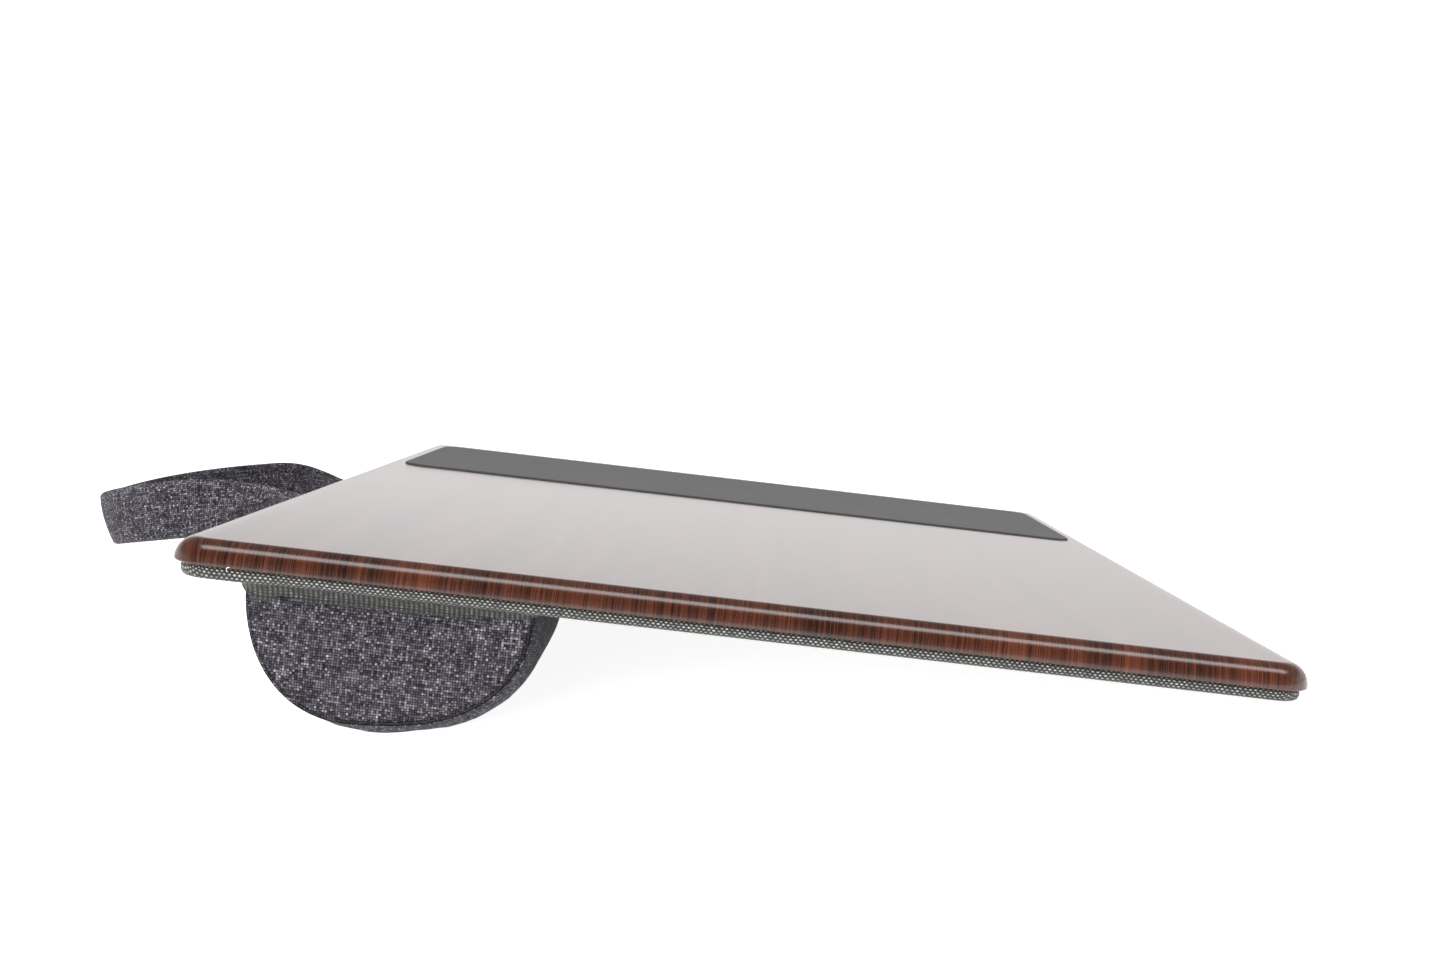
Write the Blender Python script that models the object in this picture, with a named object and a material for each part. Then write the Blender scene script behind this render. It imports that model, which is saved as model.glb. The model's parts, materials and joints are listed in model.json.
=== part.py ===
"""Bolster lap desk: a rounded board with an inlaid mouse pad, on a fabric-covered backing panel, raised at the
rear by a sewn foam bolster, with a fabric carry handle behind the rear edge.

The desk is modelled flat in its own frame and then tilted as it rests on a table. In the desk's own frame +X is
the long side towards the mouse pad, +Y is the rear, +Z is up off the work surface, and z = 0 is that surface.
In the world +X and +Y are the same ways, and z = 0 is the table.
"""

import math

import bmesh
import bpy
from mathutils import Matrix, Vector
from mathutils.geometry import interpolate_bezier

MM = 0.001

# Driving dimensions

GAP = 0.3 * MM                      # glue line, seam line or running clearance between two pieces

BOARD_LENGTH = 550 * MM
BOARD_WIDTH = 350 * MM
BOARD_THICKNESS = 7.8 * MM
BOARD_CORNER = 12 * MM              # radius of the corners, seen from above
BOARD_TOP_ROUND = 6.4 * MM
BOARD_LOW_ROUND = 1.2 * MM

PAD_WIDTH = 154 * MM                # along the board's long side
PAD_END_MARGIN = 24 * MM            # board's right end to the pad
PAD_SIDE_MARGIN = 11 * MM           # board's front and rear edges to the pad
PAD_THICKNESS = 1.7 * MM
PAD_RECESS = 1.2 * MM
PAD_CORNER = 10 * MM
PAD_EDGE_ROUND = 0.3 * MM

PANEL_THICKNESS = 1.5 * MM

COVER_FABRIC = 0.6 * MM
COVER_INSET = 2.2 * MM              # board's edge to the cover's side
COVER_TOP_ROUND = 1.2 * MM
COVER_LOW_ROUND = 2 * MM
HEM_WIDTH = 22 * MM
HEM_CORNER = 2 * MM                 # least corner radius of the hem's inner edge
COLLAR_REAR_DROP = 6.5 * MM         # how far the collar is drawn down behind the bolster
COLLAR_FRONT_DROP = 3 * MM          # and in front of it
COLLAR_SPREAD = 7 * MM              # how far from the bolster the collar starts
COLLAR_SHARE = 0.9                  # of the flat between the bolster and the cover's side, at most

BOLSTER_END_MARGIN = 13 * MM        # board's ends to the bolster's end panels
BOLSTER_REAR_MARGIN = 18 * MM       # board's rear edge to the bolster's rear side
BOLSTER_REAR_HALF = 47 * MM         # rear side to the deepest line
BOLSTER_FRONT_HALF = 52.5 * MM       # deepest line to the front side
BOLSTER_DEPTH = 46 * MM             # below the cover
BOLSTER_SQUARENESS = 2.15           # exponent of the section's superellipse: 2 is an ellipse
BOLSTER_SWELL = 5 * MM              # how far the stuffed body stands out past the end seams
BOLSTER_SWELL_RUN = 20 * MM         # the length over which it does
BOLSTER_FRONT_TUCK = 4 * MM         # how far the body's front side draws in again below the cover
BOLSTER_TUCK_DEPTH = 18 * MM        # the depth over which it does
BOLSTER_FABRIC = 1 * MM
FOOT_SQUASH = 1.2 * MM              # how far the foot is pressed flat by the desk's weight

STRAP_WIDTH = 24 * MM
STRAP_THICKNESS = 3.4 * MM
STRAP_PRESSED = 2.3 * MM            # thickness where it is stapled down
STRAP_FABRIC = 0.5 * MM
STRAP_SPACING = 104 * MM            # between the middles of the two strap ends
STRAP_TUCK = 34 * MM                # length hidden between the board and the cover
STRAP_SIDE_ROOM = 1 * MM
HANDLE_REACH = 95.2 * MM              # board's rear edge to the middle of the strap at the loop's end
HANDLE_DROP = 20.5 * MM             # how far the loop's end hangs below the strap's ends
HANDLE_SAG = 7.5 * MM               # how far the loop's sides aim down over their straight length
HANDLE_SIDE_PULL = 70 * MM          # how long the loop's sides stay straight
HANDLE_END_PULL = 40 * MM           # how broad the loop's end is
HANDLE_TWIST_RUN = 45 * MM          # the strap turns from flat to on edge over this length
HANDLE_LEAN = math.radians(23)      # the top edge leans outwards at the loop's end

STAPLE_CROWN = 10 * MM
STAPLE_LEG = 6 * MM                 # with the crown's thickness
STAPLE_WIRE = 0.7 * MM
STAPLE_TIP_ROOM = 0.2 * MM
STAPLE_SETBACKS = (12 * MM, 25 * MM)   # from the board's rear edge

# Levels, downwards from the work surface

BOARD_BOTTOM = -BOARD_THICKNESS
COVER_TOP = BOARD_BOTTOM - GAP
PANEL_TOP = COVER_TOP - COVER_FABRIC - GAP
PANEL_BOTTOM = PANEL_TOP - PANEL_THICKNESS
BOLSTER_TOP = PANEL_BOTTOM - GAP
COVER_BOTTOM = BOLSTER_TOP - COVER_FABRIC
STRAP_ROOT_LEVEL = COVER_TOP - STRAP_PRESSED / 2
STRAP_POCKET_FLOOR = COVER_TOP - STRAP_PRESSED - GAP
STAPLE_LEVEL = COVER_TOP - STRAP_PRESSED       # crown flush with the strap's underside

# Places worked out from the driving dimensions

REAR_EDGE = BOARD_WIDTH / 2
BOLSTER_MIDDLE = REAR_EDGE - BOLSTER_REAR_MARGIN - BOLSTER_REAR_HALF
BOLSTER_HALF_LENGTH = BOARD_LENGTH / 2 - BOLSTER_END_MARGIN
WRAP_HALF_LENGTH = BOLSTER_HALF_LENGTH - BOLSTER_FABRIC - GAP
COLLAR_ROOM = BOLSTER_END_MARGIN - COVER_INSET - COVER_LOW_ROUND

# Fineness of the meshes

ROUND_STEPS = 3
CORNER_STEPS = 4
SECTION_STEPS = 28
SWELL_STEPS = 3
LENGTH_STEPS = 4
STRAP_STEPS = 16
STRAP_EDGE_STEPS = 3
SHARP_ANGLE = math.radians(35)
MERGE = 0.0001 * MM


# Scene


def clear_scene():
    """Removes whatever the file holds."""
    for thing in list(bpy.data.objects):
        bpy.data.objects.remove(thing, do_unlink=True)


def new_collection(name, parent=None):
    """A collection under the scene, or under another one."""
    collection = bpy.data.collections.new(name)
    (parent or bpy.context.scene.collection).children.link(collection)
    return collection


def new_material(name, colour, roughness, metallic=0.0):
    """A plain Principled material."""
    material = bpy.data.materials.new(name)
    material.use_nodes = True
    shader = material.node_tree.nodes["Principled BSDF"]
    shader.inputs["Base Color"].default_value = (*colour, 1.0)
    shader.inputs["Roughness"].default_value = roughness
    shader.inputs["Metallic"].default_value = metallic
    return material


def add_part(name, mesh, desk, collection, colour, roughness, metallic=0.0):
    """A named piece of the desk, smooth where it is round, with a material of its own."""
    part = bpy.data.objects.new(name, mesh)
    collection.objects.link(part)
    part.parent = desk
    mesh.materials.clear()
    mesh.materials.append(new_material(name, colour, roughness, metallic))
    mesh.shade_smooth()
    mesh.set_sharp_from_angle(angle=SHARP_ANGLE)
    return part


def add_cutter(name, mesh, desk, collection):
    """A shape that only cuts others. It is never seen."""
    cutter = bpy.data.objects.new(name, mesh)
    collection.objects.link(cutter)
    cutter.parent = desk
    cutter.hide_render = True
    cutter.display_type = "WIRE"
    return cutter


def cut(part, cutters):
    """Takes every shape of a collection away from a part."""
    modifier = part.modifiers.new(f"less {cutters.name}", "BOOLEAN")
    modifier.operation = "DIFFERENCE"
    modifier.solver = "EXACT"
    modifier.operand_type = "COLLECTION"
    modifier.collection = cutters


# Mesh makers


def slab(name, length, width, low, high, corner, top_round=0.0, low_round=0.0):
    """A flat box about the origin with rounded corners, and rounded rims where a radius is given."""
    form = bmesh.new()
    bmesh.ops.create_cube(form, size=1)
    bmesh.ops.scale(form, vec=(length, width, high - low), verts=form.verts)
    bmesh.ops.translate(form, vec=(0, 0, (low + high) / 2), verts=form.verts)
    upright = [edge for edge in form.edges if edge.verts[0].co.xy == edge.verts[1].co.xy]
    bmesh.ops.bevel(form, geom=upright, offset=corner, segments=CORNER_STEPS, profile=0.5, affect="EDGES")
    for level, radius in ((high, top_round), (low, low_round)):
        if radius > 0:
            rim = [edge for edge in form.edges
                   if all(abs(vert.co.z - level) < MERGE for vert in edge.verts)]
            bmesh.ops.bevel(form, geom=rim, offset=radius, segments=ROUND_STEPS, profile=0.5, affect="EDGES")
    mesh = bpy.data.meshes.new(name)
    form.to_mesh(mesh)
    form.free()
    return mesh


def plate(name, outline, thickness):
    """A flat outline in x and y, given a thickness either side of z = 0."""
    curve = bpy.data.curves.new(name, "CURVE")
    curve.dimensions = "2D"
    curve.fill_mode = "BOTH"
    curve.extrude = thickness / 2
    spline = curve.splines.new("POLY")
    spline.points.add(len(outline) - 1)
    for point, (x, y) in zip(spline.points, outline):
        point.co = (x, y, 0, 1)
    spline.use_cyclic_u = True
    guide = bpy.data.objects.new(name, curve)
    bpy.context.scene.collection.objects.link(guide)
    view = bpy.context.evaluated_depsgraph_get()
    mesh = bpy.data.meshes.new_from_object(guide.evaluated_get(view))
    bpy.data.objects.remove(guide)
    form = bmesh.new()
    form.from_mesh(mesh)
    bmesh.ops.remove_doubles(form, verts=form.verts, dist=MERGE)
    bmesh.ops.recalc_face_normals(form, faces=form.faces)
    form.to_mesh(mesh)
    form.free()
    return mesh


def loft(name, rings, looped=False, crossed=None):
    """A skin over a list of closed rings with equally many points each. The first and last rings are filled,
    or, looped, joined to each other, which makes a wall of two skins. crossed(ring, point) says which of its
    two diagonals a face is split along, so that skins that lie close together stay parallel where they curve
    two ways. Without it the faces stay four-sided."""
    form = bmesh.new()
    rows = [[form.verts.new(point) for point in ring] for ring in rings]
    count = len(rows[0])
    pairs = list(zip(rows, rows[1:]))
    if looped:
        pairs.append((rows[-1], rows[0]))
    for number, (row, next_row) in enumerate(pairs):
        for i in range(count):
            j = (i + 1) % count
            corners = [row[i], row[j], next_row[j], next_row[i]]
            if crossed is None:
                form.faces.new(corners)
                continue
            if crossed(number, i):
                corners = corners[1:] + corners[:1]
            form.faces.new(corners[:3])
            form.faces.new((corners[0], corners[2], corners[3]))
    if not looped:
        form.faces.new(reversed(rows[0]))
        form.faces.new(rows[-1])
    bmesh.ops.recalc_face_normals(form, faces=form.faces)
    mesh = bpy.data.meshes.new(name)
    form.to_mesh(mesh)
    form.free()
    return mesh


# Bolster section


def swell_share(x):
    """How far the bolster has swelled to its full section at x: 0 at the end seams, 1 along the body."""
    inward = (BOLSTER_HALF_LENGTH - abs(x)) / BOLSTER_SWELL_RUN
    return math.sin(math.pi / 2 * min(1, max(0, inward)))


def bolster_pull(x):
    """How far the bolster's side is pulled in at x, against its full section."""
    return BOLSTER_SWELL * (1 - swell_share(x))


def front_tuck(x, z):
    """How far the front side draws in at x and at level z. The end seams have none."""
    share = max(0, 1 - (COVER_BOTTOM - z) / BOLSTER_TUCK_DEPTH)
    return BOLSTER_FRONT_TUCK * swell_share(x) * share * share


def signed_power(value, power):
    return math.copysign(abs(value) ** power, value)


def bolster_section(x, inset=0.0):
    """The section at x as (y, z) points: down the rear side, round the foot and up the front side."""
    less = bolster_pull(x) + inset
    power = 2 / BOLSTER_SQUARENESS
    curve = []
    for step in range(SECTION_STEPS + 1):
        angle = math.pi * step / SECTION_STEPS
        half = BOLSTER_REAR_HALF if step * 2 < SECTION_STEPS else BOLSTER_FRONT_HALF
        y = BOLSTER_MIDDLE + (half - less) * signed_power(math.cos(angle), power)
        z = COVER_BOTTOM - (BOLSTER_DEPTH - less) * signed_power(math.sin(angle), power)
        if y < BOLSTER_MIDDLE:
            y += front_tuck(x, z)
        curve.append((y, z))
    return [(curve[0][0], BOLSTER_TOP)] + curve + [(curve[-1][0], BOLSTER_TOP)]


def length_stations(half_length):
    """x positions along the bolster, close together where it swells."""
    swelling = [BOLSTER_HALF_LENGTH - BOLSTER_SWELL_RUN * step / SWELL_STEPS for step in range(1, SWELL_STEPS + 1)]
    body = swelling[-1]
    middle = [body - 2 * body * step / LENGTH_STEPS for step in range(1, LENGTH_STEPS)]
    return [half_length] + swelling + middle + [-x for x in reversed(swelling)] + [-half_length]


# Rest on the table


def cover_side_profile(depth=0.0):
    """The cover's side as (inset from the board's edge, level) points, from the hem's top to the flat bottom,
    at a depth below its outer face."""
    points = []
    for radius, centre, start in ((COVER_TOP_ROUND, COVER_TOP - COVER_TOP_ROUND, 90),
                                  (COVER_LOW_ROUND, COVER_BOTTOM + COVER_LOW_ROUND, 0)):
        for step in range(ROUND_STEPS + 1):
            angle = math.radians(start - 90 * step / ROUND_STEPS)
            points.append((COVER_INSET + radius - (radius - depth) * math.cos(angle),
                           centre + (radius - depth) * math.sin(angle)))
    return points


def lowest(points, tilt):
    """Height of the lowest of some (y, z) points once they are tilted."""
    return min(y * math.sin(tilt) + z * math.cos(tilt) for y, z in points)


FRONT_POINTS = [(-BOARD_WIDTH / 2 + inset, z) for inset, z in cover_side_profile()]
MOST_TILT = math.radians(40)
HALVINGS = 50


def rest_tilt():
    """The tilt at which the cover's front edge and the pressed foot touch the table together, by halving."""
    low = 0.0
    high = MOST_TILT
    for _ in range(HALVINGS):
        tilt = (low + high) / 2
        if lowest(FRONT_POINTS, tilt) > lowest(bolster_section(0), tilt) + FOOT_SQUASH:
            low = tilt
        else:
            high = tilt
    return tilt


TILT = rest_tilt()
DESK_HEIGHT = -lowest(FRONT_POINTS, TILT)      # of the work surface's middle line above the table


def settle(y, z, clearance=0.0):
    """Lifts a point that would lie below the table, or closer to it than a clearance, straight up to it."""
    height = DESK_HEIGHT + y * math.sin(TILT) + z * math.cos(TILT)
    lift = max(0.0, clearance - height)
    return y + lift * math.sin(TILT), z + lift * math.cos(TILT)


# Board and mouse pad

PAD_LENGTH = BOARD_WIDTH - 2 * PAD_SIDE_MARGIN
PAD_MIDDLE = BOARD_LENGTH / 2 - PAD_END_MARGIN - PAD_WIDTH / 2


def make_board(desk, parts, cutters, staple_cutters):
    """The work surface, with a shallow recess for the mouse pad and the staples' holes from below."""
    board = add_part(
        "top_board",
        slab("top_board", BOARD_LENGTH, BOARD_WIDTH, BOARD_BOTTOM, 0, BOARD_CORNER, BOARD_TOP_ROUND,
             BOARD_LOW_ROUND),
        desk, parts, (0.16, 0.055, 0.035), 0.3)
    recess = add_cutter(
        "pad_recess",
        slab("pad_recess", PAD_WIDTH + 2 * GAP, PAD_LENGTH + 2 * GAP, -PAD_RECESS, PAD_RECESS,
             PAD_CORNER + GAP),
        desk, cutters)
    recess.location.x = PAD_MIDDLE
    cut(board, cutters)
    cut(board, staple_cutters)


def make_mouse_pad(desk, parts):
    """The pad, glued to the recess's floor and standing a little proud."""
    low = -PAD_RECESS + GAP
    pad = add_part(
        "mouse_pad",
        slab("mouse_pad", PAD_WIDTH, PAD_LENGTH, low, low + PAD_THICKNESS, PAD_CORNER, PAD_EDGE_ROUND),
        desk, parts, (0.05, 0.05, 0.052), 0.6)
    pad.location.x = PAD_MIDDLE


# Backing panel and its cover


def make_backing_panel(desk, parts, cutters):
    """The hardboard inside the cover, notched for the strap ends."""
    inset = COVER_INSET + COVER_FABRIC + GAP
    panel = add_part(
        "backing_panel",
        slab("backing_panel", BOARD_LENGTH - 2 * inset, BOARD_WIDTH - 2 * inset, PANEL_BOTTOM, PANEL_TOP,
             BOARD_CORNER - inset, COVER_TOP_ROUND - COVER_FABRIC - GAP,
             COVER_LOW_ROUND - COVER_FABRIC - GAP),
        desk, parts, (0.23, 0.13, 0.07), 0.8)
    cut(panel, cutters)


def outline_ring(half_length, rear, front, radius, level, pulled=False):
    """A rounded rectangle as a closed ring of points, from the rear right corner round to the front right one.
    Its long sides have the bolster's stations. Pulled, they follow the bolster's sides."""
    run = half_length - radius
    stations = [x * run / BOLSTER_HALF_LENGTH for x in length_stations(BOLSTER_HALF_LENGTH)[1:-1]]
    corners = ((run, rear - radius, 0), (-run, rear - radius, 90), (-run, front + radius, 180),
               (run, front + radius, 270))
    ring = []
    for number, (x, y, start) in enumerate(corners):
        for step in range(CORNER_STEPS + 1):
            angle = math.radians(start + 90 * step / CORNER_STEPS)
            ring.append((x + radius * math.cos(angle), y + radius * math.sin(angle)))
        if number == 0:
            ring += [(station, rear) for station in stations]
        if number == 2:
            ring += [(-station, front) for station in stations]
    if not pulled:
        return [Vector((x, y, level)) for x, y in ring]
    middle = (rear + front) / 2
    tuck_level = COVER_BOTTOM - COLLAR_FRONT_DROP
    return [Vector((x, y - bolster_pull(x) if y > middle else y + bolster_pull(x) + front_tuck(x, tuck_level), level))
            for x, y in ring]


def tray_ring(inset, level):
    """A ring parallel to the board's outline."""
    half_width = BOARD_WIDTH / 2 - inset
    radius = max(BOARD_CORNER - inset, HEM_CORNER)
    return outline_ring(BOARD_LENGTH / 2 - inset, half_width, -half_width, radius, level)


def collar_drop(y):
    """How far the collar is drawn down at y: evenly less from the bolster's rear side to its front side."""
    share = (BOLSTER_MIDDLE + BOLSTER_REAR_HALF - y) / (BOLSTER_REAR_HALF + BOLSTER_FRONT_HALF)
    return COLLAR_REAR_DROP + (COLLAR_FRONT_DROP - COLLAR_REAR_DROP) * share


def collar_ring(offset, fall, rise):
    """A ring parallel to the bolster's outline, lower than the cover's flat bottom by a share of the collar's
    drop, and higher by a rise."""
    ring = outline_ring(BOLSTER_HALF_LENGTH + offset, BOLSTER_MIDDLE + BOLSTER_REAR_HALF + offset,
                        BOLSTER_MIDDLE - BOLSTER_FRONT_HALF - offset, offset, COVER_BOTTOM + rise, pulled=True)
    return [Vector((point.x, point.y, point.z - fall * collar_drop(point.y))) for point in ring]


def collar_profile(depth):
    """The collar as (offset from the bolster, share of the drop, rise) points, a quarter ellipse that starts
    level and ends upright, at a depth below its outer face."""
    drop = (COLLAR_REAR_DROP + COLLAR_FRONT_DROP) / 2
    spread = min(COLLAR_SPREAD, COLLAR_ROOM * COLLAR_SHARE) - GAP - COVER_FABRIC
    points = []
    for step in range(ROUND_STEPS + 1):
        angle = math.pi / 2 * step / ROUND_STEPS
        inward = Vector((-drop * math.sin(angle), spread * math.cos(angle))).normalized() * depth
        offset = GAP + COVER_FABRIC + spread * (1 - math.sin(angle))
        points.append((offset + inward.x, 1 - math.cos(angle), inward.y))
    return points


def cover_rings(depth):
    """One face of the cover, from the hem's edge over the side and the flat bottom to the collar's edge."""
    rings = [tray_ring(COVER_INSET + HEM_WIDTH, COVER_TOP - depth)]
    rings += [tray_ring(inset, level) for inset, level in cover_side_profile(depth)]
    return rings + [collar_ring(*point) for point in collar_profile(depth)]


def make_underside_cover(desk, parts, cutters):
    """One fabric skin: hem, side, bottom, and a collar that curves down round the bolster."""
    rings = cover_rings(0) + cover_rings(COVER_FABRIC)[::-1]
    cover = add_part("underside_cover", loft("underside_cover", rings, looped=True), desk, parts,
                     (0.13, 0.14, 0.12), 0.9)
    cut(cover, cutters)


# Bolster

HEATHER = (0.07, 0.068, 0.085)


def bolster_line(x, inset=0.0):
    """The section at x as points, flattened where it stands on the table."""
    return [(x, *settle(y, z, inset)) for y, z in bolster_section(x, inset)]


def make_bolster_wrap(desk, parts):
    """The fabric round the bolster's sides and foot: a trough, open at the top and at its ends."""
    rings = [bolster_line(x) + bolster_line(x, BOLSTER_FABRIC)[::-1] for x in length_stations(WRAP_HALF_LENGTH)]
    inner = len(rings[0]) // 2
    mesh = loft("bolster_wrap", rings, crossed=lambda ring, point: point >= inner)
    add_part("bolster_wrap", mesh, desk, parts, HEATHER, 0.9)


def make_bolster_filling(desk, parts):
    """The foam, as large as the wrap holds."""
    rings = [bolster_line(x, BOLSTER_FABRIC + GAP) for x in length_stations(WRAP_HALF_LENGTH)]
    mesh = loft("bolster_filling", rings, crossed=lambda ring, point: False)
    add_part("bolster_filling", mesh, desk, parts, (0.75, 0.72, 0.6), 0.95)


def make_bolster_ends(desk, parts):
    """The end panels, cut to the wrap's outline at the end seams."""
    outline = bolster_section(BOLSTER_HALF_LENGTH)
    for name, side in (("bolster_end_left", -1), ("bolster_end_right", 1)):
        mesh = plate(name, outline, BOLSTER_FABRIC)
        mesh.transform(Matrix(((0, 0, 1, 0), (1, 0, 0, 0), (0, 1, 0, 0), (0, 0, 0, 1))))
        end = add_part(name, mesh, desk, parts, HEATHER, 0.9)
        end.location.x = side * (BOLSTER_HALF_LENGTH - BOLSTER_FABRIC / 2)


# Handle


def smooth_share(value):
    """0 up to 0, 1 from 1 on, and a smooth rise between."""
    share = min(1, max(0, value))
    return share * share * (3 - 2 * share)


def handle_route():
    """The strap's middle line from the left end, under the board, round the loop to the right end.
    The loop is two mirrored Bezier curves that sag at once behind the board and are level at the loop's end."""
    root = Vector((-STRAP_SPACING / 2, REAR_EDGE, STRAP_ROOT_LEVEL))
    tip = Vector((0, REAR_EDGE + HANDLE_REACH, STRAP_ROOT_LEVEL - HANDLE_DROP))
    loop = interpolate_bezier(root, root + Vector((0, HANDLE_SIDE_PULL, -HANDLE_SAG)),
                              tip - Vector((HANDLE_END_PULL, 0, 0)), tip, STRAP_STEPS)
    half = [root - Vector((0, STRAP_TUCK, 0))] + loop
    return half + [Vector((-point.x, point.y, point.z)) for point in reversed(half[:-1])]


def strap_section(width, thickness):
    """A flat section with rounded edges, as (across, through) points."""
    radius = thickness / 2
    points = []
    for side in (1, -1):
        for step in range(STRAP_EDGE_STEPS + 1):
            angle = math.pi * step / STRAP_EDGE_STEPS - math.pi / 2
            points.append((side * (width / 2 - radius + radius * math.cos(angle)), side * radius * math.sin(angle)))
    return points


def strap_rings(inset):
    """The strap's sections along its route, each an inset smaller than the strap all round."""
    route = handle_route()
    middle = (len(route) - 1) / 2
    steps = [(ahead - point).length for point, ahead in zip(route, route[1:])]
    half_run = sum(steps[:len(steps) // 2]) - STRAP_TUCK
    rings = []
    for number, point in enumerate(route):
        before = route[max(number - 1, 0)]
        after = route[min(number + 1, len(route) - 1)]
        forward = (after - before).normalized()
        out = sum(steps[:number]) if number <= middle else sum(steps[number:])
        out -= STRAP_TUCK
        level_way = forward.cross(Vector((0, 0, 1))).normalized()
        up_way = level_way.cross(forward)
        turn = math.pi / 2 * min(1, max(0, out / HANDLE_TWIST_RUN))
        turn += HANDLE_LEAN * smooth_share((out - HANDLE_TWIST_RUN) / (half_run - HANDLE_TWIST_RUN))
        across = level_way * math.cos(turn) + up_way * math.sin(turn)
        through = forward.cross(across)
        thickness = STRAP_PRESSED + (STRAP_THICKNESS - STRAP_PRESSED) * smooth_share(out / HANDLE_TWIST_RUN)
        section = strap_section(STRAP_WIDTH - 2 * inset, thickness - 2 * inset)
        rings.append([point + across * a + through * t for a, t in section])
    return rings


def make_handle(desk, parts, cutters):
    """The fabric sleeve, open at its two ends, and the webbing inside it."""
    outer = strap_rings(0)
    core = strap_rings(STRAP_FABRIC + GAP)
    far_side = len(core[0]) // 2
    sleeve_mesh = loft("handle_sleeve", outer + strap_rings(STRAP_FABRIC)[::-1], looped=True,
                       crossed=lambda ring, point: (point >= far_side) != (ring >= len(outer)))
    webbing_mesh = loft("handle_webbing", core, crossed=lambda ring, point: point >= far_side)
    sleeve = add_part("handle_sleeve", sleeve_mesh, desk, parts, HEATHER, 0.9)
    webbing = add_part("handle_webbing", webbing_mesh, desk, parts, (0.3, 0.3, 0.3), 0.9)
    cut(sleeve, cutters)
    cut(webbing, cutters)


def make_strap_pockets(desk, cutters):
    """The room for each strap end: a notch through the panel and through the cover's rear hem and side."""
    length = STRAP_TUCK + GAP
    for side in (-1, 1):
        mesh = bpy.data.meshes.new("strap_pocket")
        form = bmesh.new()
        bmesh.ops.create_cube(form, size=1)
        bmesh.ops.scale(form, vec=(STRAP_WIDTH + 2 * STRAP_SIDE_ROOM, 2 * length, BOARD_THICKNESS), verts=form.verts)
        form.to_mesh(mesh)
        form.free()
        pocket = add_cutter(f"strap_pocket_{side}", mesh, desk, cutters)
        pocket.location = (side * STRAP_SPACING / 2, REAR_EDGE, STRAP_POCKET_FLOOR + BOARD_THICKNESS / 2)


# Staples


def staple_mesh(name, grow, tip_room):
    """A squared U with its crown at the bottom, grown all round when it is the staple's clearance."""
    outer = STAPLE_CROWN / 2 + grow
    inner = STAPLE_CROWN / 2 - STAPLE_WIRE - grow
    tip = STAPLE_LEG + tip_room
    outline = [(-outer, tip), (-inner, tip), (-inner, STAPLE_WIRE + grow), (inner, STAPLE_WIRE + grow),
               (inner, tip), (outer, tip), (outer, -grow), (-outer, -grow)]
    mesh = plate(name, outline, STAPLE_WIRE + 2 * grow)
    mesh.transform(Matrix.Rotation(math.pi / 2, 4, "X"))
    return mesh


def make_staples(desk, parts, cutters):
    """Two staples across each strap end, driven up into the board, and the room each makes for itself."""
    room = staple_mesh("staple_room", GAP, STAPLE_TIP_ROOM)
    for side_name, side in (("left", -1), ("right", 1)):
        for number, setback in enumerate(STAPLE_SETBACKS, start=1):
            name = f"strap_staple_{side_name}_{number}"
            staple = add_part(name, staple_mesh(name, 0, 0), desk, parts, (0.6, 0.6, 0.62), 0.35, 1.0)
            cutter = add_cutter(f"room_of_{name}", room, desk, cutters)
            for thing in (staple, cutter):
                thing.location = (side * STRAP_SPACING / 2, REAR_EDGE - setback, STAPLE_LEVEL)


# Assembly


def centre_over_origin(desk, parts):
    """Moves the desk so that the middle of its bounding box is over the origin."""
    bpy.context.view_layer.update()
    view = bpy.context.evaluated_depsgraph_get()
    heights = []
    for part in parts.objects:
        seen = part.evaluated_get(view)
        heights += [(part.matrix_world @ Vector(corner.co)).y for corner in seen.data.vertices]
    desk.location.y -= (min(heights) + max(heights)) / 2
    bpy.context.view_layer.update()


def build():
    clear_scene()
    parts = new_collection("lap_desk")
    all_cutters = new_collection("lap_desk_cutters")
    pad_cutters = new_collection("pad recess", all_cutters)
    pocket_cutters = new_collection("strap pockets", all_cutters)
    staple_cutters = new_collection("strap staples", all_cutters)

    desk = bpy.data.objects.new("desk_at_rest", None)
    bpy.context.scene.collection.objects.link(desk)
    desk.rotation_euler.x = TILT
    desk.location.z = DESK_HEIGHT

    make_strap_pockets(desk, pocket_cutters)
    make_staples(desk, parts, staple_cutters)
    make_board(desk, parts, pad_cutters, staple_cutters)
    make_mouse_pad(desk, parts)
    make_backing_panel(desk, parts, pocket_cutters)
    make_underside_cover(desk, parts, pocket_cutters)
    make_bolster_wrap(desk, parts)
    make_bolster_filling(desk, parts)
    make_bolster_ends(desk, parts)
    make_handle(desk, parts, staple_cutters)
    centre_over_origin(desk, parts)
    print(f"tilt {math.degrees(TILT):.3f} degrees, desk's own origin at "
          f"y {desk.location.y / MM:.3f} mm, z {desk.location.z / MM:.3f} mm")


build()
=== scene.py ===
"""Lap desk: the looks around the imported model, as a lesson in cells."""

# %% [markdown]
# A lap desk is a flat board for a laptop and a mouse, raised at the rear by a stuffed bolster, with a strap
# to carry it by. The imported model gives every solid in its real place. This script keeps the solids that
# nobody sees, puts finer surfaces over the others, and gives each its finish.

# %% Load the solids
import json
import math

import bpy
import numpy as np
from mathutils import Matrix, Vector

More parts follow.
